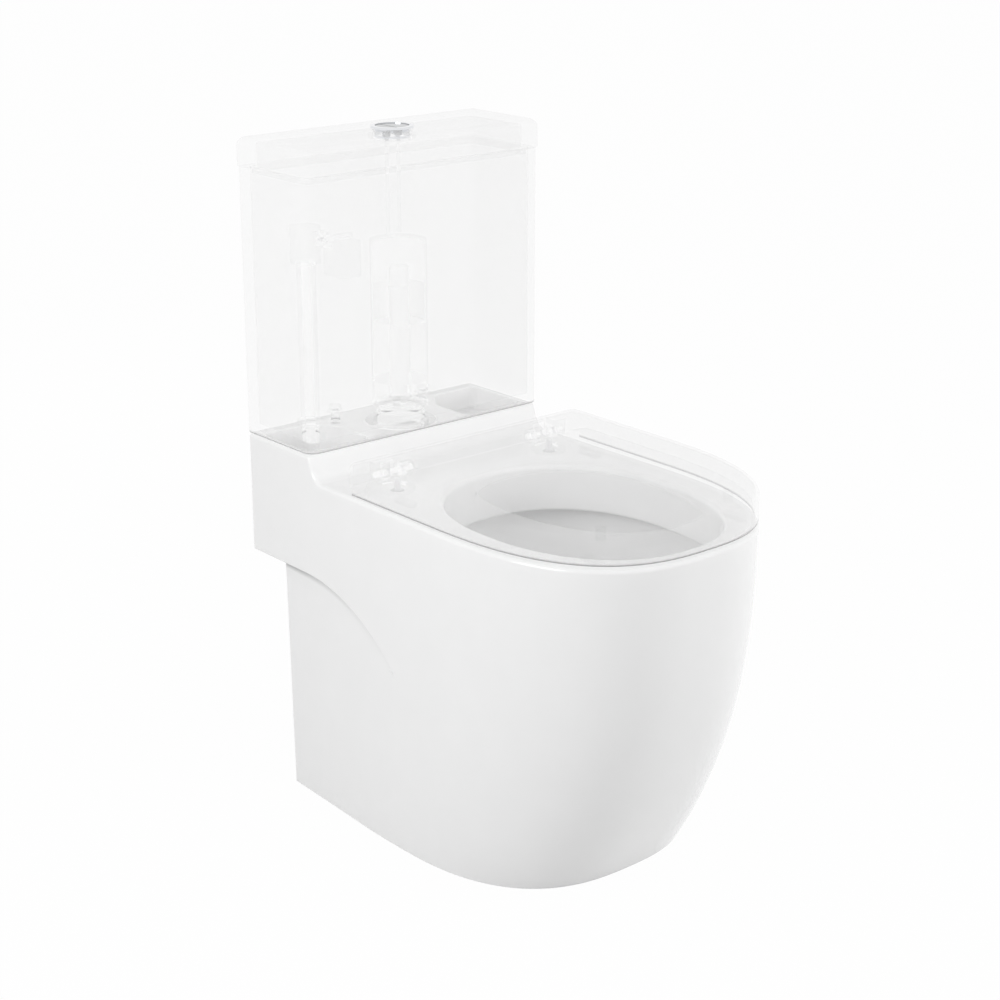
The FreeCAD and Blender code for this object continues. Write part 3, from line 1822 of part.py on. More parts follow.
hinge_y = place(s.hinge_hole_distance)
hinge_x = s.hinge_spacing / 2
foot_top = s.rim_height + s.hinge_foot_thickness
foot = ring("hinge_foot", 0, s.hinge_foot_radius, s.rim_height, foot_top, hinge_x, hinge_y)
column = block(
    "hinge_column",
    (post_left, axis_y - s.hinge_post_front, s.rim_height + s.hinge_foot_thickness / 2),
    (post_right, axis_y + s.hinge_post_rear, axis_z),
)
post_barrel = bar(
    "post_barrel", s.hinge_barrel_radius, (post_left, axis_y, axis_z), s.hinge_post_width
)
post_bore = bar(
    "post_bore",
    s.hinge_pin_radius + s.thread_gap / 5,
    (post_left - s.overrun, axis_y, axis_z),
    s.hinge_post_width + s.overrun * 2,
)
stud_top = s.rim_height + s.stud_reach
stud_bore = ring(
    "stud_bore",
    0,
    s.stud_radius + s.thread_gap / 5,
    s.rim_height - s.overrun,
    stud_top,
    hinge_x,
    hinge_y,
)
post = cut("hinge_post", fuse("post_blank", foot, column, post_barrel), post_bore, stud_bore)
hinge_posts = pair("hinge_posts", post)

stud = ring(
    "hinge_stud",
    0,
    s.stud_radius,
    deck_underside - s.stud_tail,
    stud_top,
    hinge_x,
    hinge_y,
)
hinge_studs = pair("hinge_studs", stud)
stud_inner = s.stud_radius + s.thread_gap
bush_radius = s.hinge_hole_radius - s.bush_gap
bush_low = deck_underside - s.bush_flange_thickness
bush = turned(
    "hinge_bush",
    [
        (stud_inner, bush_low),
        (s.bush_flange_radius, bush_low),
        (s.bush_flange_radius, deck_underside),
        (bush_radius, deck_underside),
        (bush_radius, s.rim_height),
        (stud_inner, s.rim_height),
    ],
    hinge_x,
    hinge_y,
)
hinge_bushes = pair("hinge_bushes", bush)
stud_washer_low = bush_low - s.stud_washer_thickness
stud_washer = ring(
    "stud_washer", stud_inner, s.stud_washer_radius, stud_washer_low, bush_low, hinge_x, hinge_y
)
hinge_washers = pair("hinge_washers", stud_washer)
stud_nut = hexagon(
    "stud_nut",
    s.stud_nut_radius,
    stud_inner,
    stud_washer_low - s.stud_nut_height,
    stud_washer_low,
    hinge_x,
    hinge_y,
)
hinge_nuts = pair("hinge_nuts", stud_nut)


def buffer(name, x, distance):
    """A soft pad under the seat ring."""
    body = new_body(name)
    half_length, half_width = s.buffer_length / 2, s.buffer_width / 2
    y = place(distance)
    corners = [
        (x - half_width, y - half_length),
        (x + half_width, y - half_length),
        (x + half_width, y + half_length),
        (x - half_width, y + half_length),
    ]
    pad(body, draw(body, "XY_Plane", corners, s.rim_height), s.seat_gap)
    soften(body, s.buffer_corner, upright)
    return body


rear_buffer = buffer("rear_buffer", cover_half - s.rear_buffer_inset, s.rear_buffer_distance)
front_buffer = buffer(
    "front_buffer", cover_half - s.front_buffer_inset, s.front_buffer_distance
)
seat_buffers = group(
    "seat_buffers",
    rear_buffer,
    mirrored("rear_buffer_other", rear_buffer),
    front_buffer,
    mirrored("front_buffer_other", front_buffer),
)
cover_buffer = ring(
    "cover_buffer",
    0,
    s.cover_buffer_radius,
    seat_top,
    cover_top - s.cover_wall,
    s.cover_buffer_offset,
    place(s.front_buffer_distance),
)
cover_buffers = pair("cover_buffers", cover_buffer)

# The pieces

PIECES = {
    "pan_platform": pan_platform,
    "pan_pockets": pan_pockets,
    "pan_block": pan_block,
    "pan_duct": pan_duct,
    "pan_deck": pan_deck,
    "pan_rim": pan_rim,
    "pan_rim_wall": pan_rim_wall,
    "pan_skirt_right": pan_skirt_right,
    "pan_skirt_left": pan_skirt_left,
    "pan_nose": pan_nose,
    "pan_lugs": pan_lugs,
    "pan_bowl": pan_bowl,
    "pan_sump": pan_sump,
    "pan_trapway": pan_trapway,
    "pan_outlet": pan_outlet,
    "pan_spigot": pan_spigot,
    "coupling_gasket": coupling_gasket,
    "cistern_cushions": cistern_cushions,
    "cistern_tank": cistern_tank,
    "cistern_bolts": cistern_bolts,
    "bolt_cone_washers": bolt_cone_washers,
    "bolt_washers": bolt_washers,
    "wing_nuts": wing_nuts,
    "flush_valve_base": flush_valve_base,
    "flush_valve_washer": flush_valve_washer,
    "flush_valve_nut": flush_valve_nut,
    "flush_valve_cage": flush_valve_cage,
    "valve_core": valve_core,
    "valve_seal": valve_seal,
    "half_flush_float": half_flush_float,
    "fill_valve_riser": fill_valve_riser,
    "fill_valve_washer": fill_valve_washer,
    "fill_valve_nut": fill_valve_nut,
    "fill_valve_head": fill_valve_head,
    "float_pin": float_pin,
    "float_arm": float_arm,
    "float_cup": float_cup,
    "cistern_lid": cistern_lid,
    "button_bezel": button_bezel,
    "bezel_nut": bezel_nut,
    "button_full": button_full,
    "button_half": button_half,
    "full_rod": full_rod,
    "half_rod": half_rod,
    "full_spring": full_spring,
    "half_spring": half_spring,
    "seat_ring": seat_ring,
    "seat_buffers": seat_buffers,
    "seat_cover": seat_cover,
    "cover_buffers": cover_buffers,
    "hinge_posts": hinge_posts,
    "hinge_pins": hinge_pins,
    "hinge_dampers": hinge_dampers,
    "hinge_studs": hinge_studs,
    "hinge_bushes": hinge_bushes,
    "hinge_washers": hinge_washers,
    "hinge_nuts": hinge_nuts,
}

doc.recompute()
for thing in doc.Objects:
    if "Invalid" in thing.State or "Error" in thing.State:
        raise RuntimeError(f"{thing.Name} did not compute: {thing.State}")
for node, piece in PIECES.items():
    piece.Label = node
    if piece.Shape.isNull() or not piece.Shape.isValid() or not piece.Shape.Solids:
        raise RuntimeError(f"{node} has no valid shape")

os.makedirs("parts", exist_ok=True)
for node, piece in PIECES.items():
    piece.Shape.exportStep(f"parts/{node}.step")
    solids = len(piece.Shape.Solids)
    print(f"{node}: {solids} solid(s), {piece.Shape.Volume / 1000:.1f} cm3")
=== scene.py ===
# %% [markdown]
# # A comfort height toilet
# This lesson dresses a close-coupled toilet for a studio picture. The pan is solid glazed china.
# The cistern, its lid and the seat are drawn as pale see-through shapes, as a fitting guide does
# when it wants the pan to stand out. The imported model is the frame: every piece is set against its
# nodes, in metres, with the floor at Z = 0 and the wall behind the toilet in the +Y direction.

# %% Load the frame
import json
import math

import bmesh
import bpy
import numpy as np
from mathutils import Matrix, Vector
from mathutils.geometry import delaunay_2d_cdt


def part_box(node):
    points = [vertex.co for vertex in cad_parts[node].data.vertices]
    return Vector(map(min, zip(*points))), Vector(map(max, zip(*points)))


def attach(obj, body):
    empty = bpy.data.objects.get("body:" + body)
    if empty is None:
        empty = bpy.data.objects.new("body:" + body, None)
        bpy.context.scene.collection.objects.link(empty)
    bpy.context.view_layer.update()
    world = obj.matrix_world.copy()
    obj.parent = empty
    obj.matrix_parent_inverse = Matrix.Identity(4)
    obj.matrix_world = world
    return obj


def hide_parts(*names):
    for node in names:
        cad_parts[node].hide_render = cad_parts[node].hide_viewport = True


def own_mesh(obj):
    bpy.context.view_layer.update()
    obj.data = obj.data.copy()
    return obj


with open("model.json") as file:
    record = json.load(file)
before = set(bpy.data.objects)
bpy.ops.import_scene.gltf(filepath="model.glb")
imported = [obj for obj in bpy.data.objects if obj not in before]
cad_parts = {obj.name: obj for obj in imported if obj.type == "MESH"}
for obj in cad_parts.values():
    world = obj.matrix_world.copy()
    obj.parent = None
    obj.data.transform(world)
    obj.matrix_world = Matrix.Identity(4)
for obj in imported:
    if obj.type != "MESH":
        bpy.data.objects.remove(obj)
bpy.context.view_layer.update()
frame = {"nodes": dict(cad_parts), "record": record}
nodes = frame["nodes"]
WALL_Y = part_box("cistern_tank")[1][1]
print("nodes:", len(nodes), "wall at y =", round(WALL_Y, 4))


def new_object(name, data):
    """An object in the scene."""
    thing = bpy.data.objects.new(name, data)
    bpy.context.scene.collection.objects.link(thing)
    return thing


# %% [markdown]
# ## The camera
# A long lens at chest height stands to the left of the toilet and in front of it. It keeps the
# upright edges nearly parallel, so the cistern looks square in the picture. Its place and angles
# were fitted to the straight edges of the cistern and of the platform.

# %% Camera
CAMERA_PLACE = (-1.57795, -1.814, 1.23604)
CAMERA_TURN_DEGREES = 40.4
CAMERA_DROP_DEGREES = 18.82
LENS_MM = 75.42
SENSOR_MM = 36.0

lens = bpy.data.cameras.new("long_lens")
lens.lens = LENS_MM
lens.sensor_width = SENSOR_MM
camera = new_object("camera", lens)
camera.location = CAMERA_PLACE
tilt = math.radians(90.0 - CAMERA_DROP_DEGREES)
camera.rotation_euler = (tilt, 0.0, math.radians(-CAMERA_TURN_DEGREES))
bpy.context.scene.camera = camera
print("camera at", CAMERA_PLACE)

# %% [markdown]
# ## Tools for surfaces
# A glazed pan has no flat sheets bent at corners: each wall is one curved skin. So the surfaces
# are worked out as grids of points, one formula per direction, and sewn together afterwards.
# `Skin` gathers the grids and the flat faces of one piece, welds the edges that they share, and
# turns every face outwards.

# %% Surface tools
MM = 0.001
WELD = 0.004 * MM
SETTLE = 0.9999
SMOOTH_DEGREES = 32.0
FLAT_EPSILON, SLIVER = WELD / 40, WELD / 10


def at(x, distance, height):
    """Points of the scene. The distance is measured from the wall, as a fitter does it."""
    x, distance, height = np.broadcast_arrays(x, distance, height)
    return np.stack([x, WALL_Y - distance, height], axis=-1).astype(float)


def blend(first, second, share):
    """first + (second - first) * share."""
    return first + (second - first) * share


def inside(loop, points):
    """Which points lie in a closed outline, by counting the edges that a ray to the right meets."""
    x0, y0 = loop[:, 0], loop[:, 1]
    x1, y1 = np.roll(x0, -1), np.roll(y0, -1)
    hits = np.zeros(len(points), dtype=int)
    for ax, ay, bx, by in zip(x0, y0, x1, y1):
        crosses = (ay > points[:, 1]) != (by > points[:, 1])
        if ay == by:
            continue
        meet = ax + (points[:, 1] - ay) * (bx - ax) / (by - ay)
        hits += crosses & (points[:, 0] < meet)
    return hits % 2 == 1


def quarter_bend(radius, steps):
    """Steps out and down along a quarter circle: radius * (1 - sin a) and radius * (1 - cos a)."""
    arc = np.linspace(0, math.pi / 2, steps + 1)
    return [(radius * (1 - math.sin(a)), radius * (1 - math.cos(a))) for a in arc]


def smooth(mesh):
    """Smooth shading except across real edges."""
    mesh.shade_smooth()
    mesh.set_sharp_from_angle(angle=math.radians(SMOOTH_DEGREES))


class Skin:
    """Gathers the surfaces of one piece and sews them together."""

    def __init__(self):
        self.points = []
        self.faces = []
        self.count = 0

    def add(self, points, faces):
        """Points and the faces between them, counted from the first of these points."""
        self.points.append(points.reshape(-1, 3))
        self.faces.extend([[i + self.count for i in face] for face in faces])
        self.count += len(self.points[-1])

    def grid(self, points, round_=False):
        """A sheet from rows and columns of points. round_ joins the last column to the first."""
        rows, columns = points.shape[:2]
        faces = []
        for r in range(rows - 1):
            for c in range(columns if round_ else columns - 1):
                n = (c + 1) % columns
                corner = r * columns
                faces.append([corner + c, corner + n, corner + columns + n, corner + columns + c])
        self.add(points, faces)

    def flat(self, loops, lift):
        """A flat face inside the first outline and outside the others. Two columns of each outline
        count, and lift places the points again.
        """
        loops = [loop[:, :2] for loop in loops]
        points = np.concatenate(loops)
        edges, start = [], 0
        for loop in loops:
            n = len(loop)
            edges += [(start + i, start + (i + 1) % n) for i in range(n)]
            start += n
        done = delaunay_2d_cdt([Vector(p) for p in points], edges, [], 1, FLAT_EPSILON)
        flat = np.array([tuple(v) for v in done[0]])
        faces = np.array([list(face) for face in done[2]])
        middle = flat[faces].mean(axis=1)
        keep = np.ones(len(faces), dtype=bool)
        for hole in loops[1:]:
            keep &= ~inside(hole, middle)
        self.add(lift(flat), faces[keep].tolist())

    def tube(self, loops):
        """A wall through a list of closed outlines with the same number of points."""
        self.grid(np.stack(loops), round_=True)

    def object(self, name):
        """The sewn piece as a Blender object, smooth except at its real edges."""
        mesh = bpy.data.meshes.new(name)
        # Heights shrink by a hair, so that no see-through foot lies exactly in a glazed face.
        points = np.concatenate(self.points) * (1, 1, SETTLE)
        mesh.from_pydata(points.tolist(), [], self.faces)
        work = bmesh.new()
        work.from_mesh(mesh)
        bmesh.ops.remove_doubles(work, verts=work.verts, dist=WELD)
        bmesh.ops.dissolve_degenerate(work, edges=work.edges, dist=SLIVER)
        bmesh.ops.recalc_face_normals(work, faces=work.faces)
        loose = sum(1 for edge in work.edges if len(edge.link_faces) != 2)
        print(name, "faces:", len(work.faces), "open edges:", loose)
        work.to_mesh(mesh)
        work.free()
        smooth(mesh)
        return new_object(name, mesh)


# %% [markdown]
# ## The outline of the pan
# Seen from above, the pan is two nearly straight sides and a nose. The nose is a superellipse,
# which is squarer than an ellipse. Going down, the whole outline shrinks towards the foot along a
# power curve: fast near the floor and hardly at all near the rim, the way a slip cast skirt draws
# in.

# %% Outline
RIM_TOP = 434 * MM
PLATFORM_TOP = 465 * MM
PROJECTION = 626 * MM
RIM_HALF, FOOT_HALF, REAR_HALF = 185 * MM, 180.5 * MM, 181.5 * MM
RIM_STRAIGHT, FOOT_STRAIGHT = 365 * MM, 289 * MM
FOOT_SETBACK = 114 * MM
LEAN_POWER, NOSE_POWER = 2.4, 2.65
PAN_WALL = 10 * MM
REAR_INNER_HALF = 161 * MM
BLOCK_UNDERSIDE, BLOCK_FRONT, FOOT_REAR = 309 * MM, 55 * MM, 62 * MM


def lean(height):
    """How far the outline has come from the rim's (0) to the foot's (1): (1 - z / rim) ** 2.4."""
    return np.maximum(0.0, 1.0 - height / RIM_TOP) ** LEAN_POWER


def rear_edge(height):
    """The distance of the skirt's rear edge, which leans from under the block to the floor."""
    below = np.clip((BLOCK_UNDERSIDE - height) / BLOCK_UNDERSIDE, 0, 1)
    return blend(BLOCK_FRONT, FOOT_REAR, below)


def side_x(distance, height):
    """Half the width of a straight side: a line from the rear half width to the nose's start."""
    share = lean(height)
    half = blend(RIM_HALF, FOOT_HALF, share)
    straight = blend(RIM_STRAIGHT, FOOT_STRAIGHT, share)
    return REAR_HALF + (half - REAR_HALF) * distance / straight


def nose(turn, height, inset=0.0):
    """x = half * cos(t) ** (2 / 2.65) and distance = straight + reach * sin(t) ** (2 / 2.65)."""
    share = lean(height)
    half = blend(RIM_HALF, FOOT_HALF, share) - inset
    straight = blend(RIM_STRAIGHT, FOOT_STRAIGHT, share)
    reach = PROJECTION - FOOT_SETBACK * share - inset - straight
    power = 2.0 / NOSE_POWER
    x = half * np.maximum(np.cos(turn), 0.0) ** power
    return x, straight + reach * np.maximum(np.sin(turn), 0.0) ** power


# %% [markdown]
# ## The line along the top
# From the wall forwards, the top edge runs level along the platform that carries the cistern,
# rolls over its front corner, drops down a leaning band, turns through a cove and runs level again
# along the deck. Each point of that line carries a normal, because the rounded edge between the
# top and the side is swept square to it.

# %% Profile along the top
CORNER_RADIUS, COVE_RADIUS, EDGE_RADIUS = 5.5 * MM, 20 * MM, 5 * MM
PLATFORM_DEPTH, BAND_DEPTH, BAND_HEIGHT, COVE_DEPTH = 128 * MM, 5 * MM, 13 * MM, 5 * MM
BLOCK_STEPS, PLATFORM_STEPS, CORNER_STEPS = 4, 7, 5
COVE_STEPS, DECK_STEPS, NOSE_STEPS = 9, 24, 56


def top_line():
    """Rows of distance, height and normal along one side's top edge, from the wall to the nose."""
    band_turn = math.atan2(BAND_HEIGHT, BAND_DEPTH)
    corner_start = PLATFORM_DEPTH - CORNER_RADIUS * math.tan(band_turn / 2)
    block = np.linspace(0, BLOCK_FRONT, BLOCK_STEPS)
    platform = np.linspace(BLOCK_FRONT, corner_start, PLATFORM_STEPS)[1:-1]
    rows = [(d, PLATFORM_TOP, 0.0, 1.0) for d in (*block, *platform)]
    for angle in np.linspace(0, band_turn, CORNER_STEPS):
        over, up = math.sin(angle), math.cos(angle)
        d = corner_start + CORNER_RADIUS * over
        rows.append((d, PLATFORM_TOP - CORNER_RADIUS * (1 - up), over, up))
    foot_height = PLATFORM_TOP - BAND_HEIGHT
    cove_turn = math.atan2(foot_height - RIM_TOP, COVE_DEPTH)
    middle_turn = (band_turn + cove_turn) / 2
    band_end = PLATFORM_DEPTH + BAND_DEPTH
    rows.append((band_end, foot_height, math.sin(middle_turn), math.cos(middle_turn)))
    cove_end = band_end + COVE_DEPTH + COVE_RADIUS * math.tan(cove_turn / 2)
    for angle in np.linspace(cove_turn, 0, COVE_STEPS):
        over, up = math.sin(angle), math.cos(angle)
        rows.append((cove_end - COVE_RADIUS * over, RIM_TOP + COVE_RADIUS * (1 - up), over, up))
    for d in np.linspace(cove_end, RIM_STRAIGHT, DECK_STEPS)[1:]:
        rows.append((d, RIM_TOP, 0.0, 1.0))
    return np.array(rows), cove_end


TOP, COVE_END = top_line()
TURNS = np.linspace(0, math.pi / 2, NOSE_STEPS + 1)[1:]
print("points along one side:", len(TOP), "and on half the nose:", NOSE_STEPS)

# %% [markdown]
# ## The crease in the side
# Low on each side the china steps in: the skirt behind an arched line is flatter and sits deeper,
# which lets the pan slide past a skirting board. The line runs level under the block, bends down
# along an arc and dies out towards the foot. Below it the surface lies on a slanted plane that
# meets the skirt again where the step ends.

# %% Crease
ARCH_ANGLE, ARCH_RADIUS, ARCH_CORNER = math.radians(48.0), 255 * MM, 223.5 * MM
RECESS_DEPTH, RECESS_END, RECESS_POWER = 10.5 * MM, 292 * MM, 6
LEDGE_RADIUS = 3 * MM
FADE_LENGTH = 20 * MM
# How far down the painted shadow under the ledge reaches.
CREASE_SHADE_REACH = 12 * MM


def crease_height(distance):
    """The arch: level, then an arc tangent to it and to a 48 degree slope, then that slope."""
    reach = ARCH_RADIUS * math.tan(ARCH_ANGLE / 2)
    start, end = ARCH_CORNER - reach, ARCH_CORNER + reach * math.cos(ARCH_ANGLE)
    along = np.clip(distance - start, 0, ARCH_RADIUS * math.sin(ARCH_ANGLE))
    arc = BLOCK_UNDERSIDE - ARCH_RADIUS + np.sqrt(ARCH_RADIUS**2 - along**2)
    slope = np.maximum(distance - end, 0.0)
    fading = FADE_LENGTH * (1 - np.exp(-slope / FADE_LENGTH))
    return arc - math.tan(ARCH_ANGLE) * fading


def recess_depth(distance, height):
    """How far the recess plane lies behind the skin. It is zero from the end of the crease on."""
    floor_half = REAR_HALF - RECESS_DEPTH
    end_half = (side_x(RECESS_END, RIM_TOP) + side_x(RECESS_END, 0.0)) / 2
    share = np.clip((distance - FOOT_REAR) / (RECESS_END - FOOT_REAR), 0, 1)
    depth = side_x(distance, height) - blend(floor_half, end_half, share)
    return np.maximum(depth, 0.0) * (1 - share**RECESS_POWER)


def shade_crease(thing):
    """Writes crease_shade on the points, the strength of a painted shadow under the ledge: 1 just
    under the ledge where it is deepest. It fades over CREASE_SHADE_REACH downwards, and along the
    ledge with the square of its depth.
    """
    flat = np.empty(len(thing.data.vertices) * 3)
    thing.data.vertices.foreach_get("co", flat)
    x, y, z = flat.reshape(-1, 3).T
    distance = WALL_Y - y
    crease = crease_height(distance)
    below = crease - z / SETTLE
    near = np.clip(1 - below / CREASE_SHADE_REACH, 0, 1)
    near *= (below > -WELD) & (distance > rear_edge(crease) - WELD)
    near *= np.abs(x) > side_x(distance, z) - RECESS_DEPTH - MM
    depth = np.clip(recess_depth(distance, crease) / RECESS_DEPTH, 0, 1)
    layer = thing.data.attributes.new("crease_shade", "FLOAT", "POINT")
    layer.data.foreach_set("value", near * depth**2)
    print("points in the shade of the crease:", int((near * depth > 0).sum()))


# %% [markdown]
# ## The outer skin
# Columns go down from the points of the top line and rows go round the pan. Each column has the
# same rows: the rounded edge at the top, the upper wall, the ledge of the crease and the lower
# wall. On the nose the ledge has no depth, so there it is only a part of the wall.

# %% Outer skin
EDGE_STEPS, UPPER_STEPS, LEDGE_STEPS, LOWER_STEPS = 6, 26, 6, 34
CREASE_PASSES = 12
TURN_STEP = 1e-4


def column_place(start, height):
    """x and distance of each side column at a height. A column keeps its share of the side."""
    share = np.clip((start - BLOCK_FRONT) / (RIM_STRAIGHT - BLOCK_FRONT), 0, 1)
    rear = rear_edge(height)
    straight = blend(RIM_STRAIGHT, FOOT_STRAIGHT, lean(height))
    moved = rear + (straight - rear) * share
    distance = np.where(start < BLOCK_FRONT - WELD, start, moved)
    return side_x(distance, height), distance


def skin_columns():
    """Rows of x, distance and height down one side, and how many of them lie above the ledge's
    inner bend. A column leans, so where it meets the crease is found in a few passes.
    """
    d, z, over, up = TOP.T
    top_x = side_x(d, np.minimum(z, RIM_TOP))
    start, start_z = d - EDGE_RADIUS * over, z - EDGE_RADIUS * up
    rows = []
    for inward, down in quarter_bend(EDGE_RADIUS, EDGE_STEPS):
        rows.append((top_x - inward, d - down * over, z - down * up))
    crease = np.full_like(d, BLOCK_UNDERSIDE)
    for _ in range(CREASE_PASSES):
        crease = crease_height(column_place(start, crease)[1])
    crease = np.where(start < BLOCK_FRONT - WELD, BLOCK_UNDERSIDE, crease)
    depth = recess_depth(column_place(start, crease)[1], crease)
    bend = np.minimum(LEDGE_RADIUS, depth / 2)
    for share in np.linspace(0, 1, UPPER_STEPS + 1)[1:]:
        height = blend(start_z, crease + bend, share)
        rows.append((*column_place(start, height), height))
    ledge_x, ledge_d = column_place(start, crease)
    ledge = quarter_bend(bend, LEDGE_STEPS)
    rows += [(ledge_x - down, ledge_d, crease + out) for out, down in ledge[1:]]
    upper_count = len(rows)
    rows += [(ledge_x - depth + out, ledge_d, crease - down) for out, down in ledge]
    for share in np.linspace(0, 1, LOWER_STEPS + 1)[1:]:
        height = blend(crease - bend, 0.0, share)
        x, distance = column_place(start, height)
        rows.append((x - recess_depth(distance, height), distance, height))
    return [np.array(row) for row in rows], upper_count


def nose_rows(side_rows):
    """The nose's points at the heights of the last side column's rows. The rounded edge is drawn
    in along the outline's normal, which comes from two close neighbours of each point.
    """
    x, d = nose(TURNS, RIM_TOP)
    x2, d2 = nose(np.minimum(TURNS + TURN_STEP, math.pi / 2), RIM_TOP)
    x0, d0 = nose(TURNS - TURN_STEP, RIM_TOP)
    normal = np.stack([d2 - d0, x0 - x2])
    normal /= np.hypot(*normal)
    normal[:, -1] = (0.0, 1.0)
    edge = [inward for inward, _ in quarter_bend(EDGE_RADIUS, EDGE_STEPS)]
    rows = []
    for number, row in enumerate(side_rows):
        height = row[2][-1]
        if number <= EDGE_STEPS:
            nx, nd = x - edge[number] * normal[0], d - edge[number] * normal[1]
        else:
            nx, nd = nose(TURNS, height)
        rows.append(np.array([nx, nd, np.full_like(nx, height)]))
    return rows


def full_row(side, front):
    """One row right round the pan: right side, nose, and the same mirrored for the left side."""
    half = np.concatenate([side, front], axis=1)
    mirrored = half[:, -2::-1] * [[-1], [1], [1]]
    return at(*np.concatenate([half, mirrored], axis=1))


side_rows, UPPER_COUNT = skin_columns()
outer = np.stack([full_row(side, front) for side, front in zip(side_rows, nose_rows(side_rows))])
FRONT_COLUMN = int(np.argmin(np.abs(TOP[:, 0] - BLOCK_FRONT)))
LAST = outer.shape[1] - 1
print("outer skin rows and columns:", outer.shape[:2], "skirt starts at column", FRONT_COLUMN)

# %% [markdown]
# ## Outlines of the openings
# The bowl's opening is egg shaped: two half superellipses of different lengths that share one
# width. The pockets under the cistern are cut corners with rounded turns, and everything else is
# round.

# %% Opening outlines
OPENING_HALF, OPENING_CENTRE = 142 * MM, 415 * MM
OPENING_REAR, OPENING_FRONT, OPENING_POWER = 166 * MM, 182 * MM, 2.25
LOOP_STEPS = 128
ROUND_STEPS = 48


def egg(half, centre, rear, front, height):
    """x = half * |cos t| ** (2 / 2.25), distance = centre + length * |sin t| ** (2 / 2.25)."""
    turn = np.arange(LOOP_STEPS) / LOOP_STEPS * 2 * math.pi
    power = 2 / OPENING_POWER
    c, sn = np.cos(turn), np.sin(turn)
    x = half * np.sign(c) * np.abs(c) ** power
    length = np.where(sn < 0, rear, front)
    return at(x, centre + length * np.sign(sn) * np.abs(sn) ** power, height)


def opening(grow, height):
    """The bowl opening's outline, grown all round."""
    return egg(
        OPENING_HALF + grow, OPENING_CENTRE, OPENING_REAR + grow, OPENING_FRONT + grow, height
    )


def circle(x, distance, radius, height, count=ROUND_STEPS):
    """A level circle."""
    turn = np.arange(count) / count * 2 * math.pi
    return at(x + radius * np.cos(turn), distance + radius * np.sin(turn), height)


def level(height):
    """A lift for flat faces that lie level."""
    return lambda flat: np.column_stack([flat, np.full(len(flat), height)])


POCKET_OUTER, POCKET_INNER = 172 * MM, 78 * MM
POCKET_REAR, POCKET_FRONT = 16 * MM, 115 * MM
NOTCH_WIDTH, NOTCH_DEPTH, POCKET_CORNER = 26 * MM, 36 * MM, 12 * MM
CORNER_POINTS = 8


def pocket(side, shrink, height):
    """A pocket's outline. Each corner is an arc of 12 mm, less the amount it is drawn in."""
    corners = [
        (POCKET_OUTER - shrink, POCKET_REAR + shrink),
        (POCKET_OUTER - shrink, POCKET_FRONT - shrink),
        (POCKET_INNER + shrink, POCKET_FRONT - shrink),
        (POCKET_INNER + shrink, POCKET_REAR + NOTCH_DEPTH),
        (POCKET_INNER + NOTCH_WIDTH, POCKET_REAR + shrink),
    ]
    radius = POCKET_CORNER - shrink
    points = []
    for i, corner in enumerate(corners):
        here = np.array(corner)
        before = np.array(corners[i - 1]) - here
        after = np.array(corners[(i + 1) % len(corners)]) - here
        before, after = before / np.linalg.norm(before), after / np.linalg.norm(after)
        half_angle = math.acos(float(np.dot(before, after))) / 2
        reach = radius / math.tan(half_angle)
        middle = before + after
        centre = here + middle / np.linalg.norm(middle) * radius / math.sin(half_angle)
        first, last = here + before * reach - centre, here + after * reach - centre
        for share in np.linspace(0, 1, CORNER_POINTS):
            ray = blend(first, last, share)
            points.append(centre + ray / np.linalg.norm(ray) * radius)
    points = np.array(points)
    return at(side * points[:, 0], points[:, 1], height)


# %% [markdown]
# ## Sewing the pan
# The flats come last, because their outlines are the ends of the walls: the platform with its
# pockets, the flush inlet and the bolt holes; the deck with the opening and the hinge holes; the
# rear face that stands against the wall; and the underside of the block.

# %% Pan
OPENING_ROUND = 6 * MM
RIM_WALL, RING_BOTTOM = 8 * MM, 374 * MM
CEILING = 422 * MM
BLOCK_WALL, PLATE_TOP = 10 * MM, 319 * MM
INLET_DISTANCE, INLET_RADIUS, BORE_RADIUS = 76 * MM, 45 * MM, 32 * MM
COLLAR_RADIUS, COLLAR_TOP = 48 * MM, 466 * MM
RECESS_FLOOR, BORE_FLOOR = 435 * MM, 426 * MM
POCKET_FLOOR, POCKET_LIP, POCKET_BEND = 430 * MM, 2 * MM, 7 * MM
SUPPLY_X, SUPPLY_DISTANCE, SUPPLY_RADIUS = 130 * MM, 60 * MM, 20 * MM
BOLT_X, BOLT_DISTANCE, BOLT_RADIUS = 71 * MM, 31.5 * MM, 6 * MM
WELL_RADIUS, WELL_TOP = 15 * MM, 455 * MM
HINGE_X, HINGE_DISTANCE, HINGE_RADIUS = 122 * MM, 226 * MM, 8 * MM
HOLE_ROUND = 1.5 * MM
ARC_STEPS, RIM_WALL_STEPS, RING_STEPS = 6, 8, 13

pan = Skin()
pan.grid(outer[:UPPER_COUNT])
pan.grid(outer[UPPER_COUNT - 1 :, FRONT_COLUMN : LAST - FRONT_COLUMN + 1])

cove_column = int(np.argmin(np.abs(TOP[:, 0] - COVE_END)))
corner_column = int(np.argmax(TOP[:, 2] > 0)) - 1
right = list(range(corner_column, cove_column + 1))
left = [LAST - column for column in right]
pan.grid(np.stack([outer[0, right], outer[0, left]], axis=1))


def bore_hole(place, radius, top, below, top_holes):
    """A round hole with a rounded edge. below gives its further radii and heights."""
    edge = [(radius + out, top - down) for out, down in quarter_bend(HOLE_ROUND, ARC_STEPS)]
    loops = [circle(*place, r, z) for r, z in edge + below]
    pan.tube(loops)
    top_holes.append(loops[0])
    ceiling_holes.append(loops[-1])


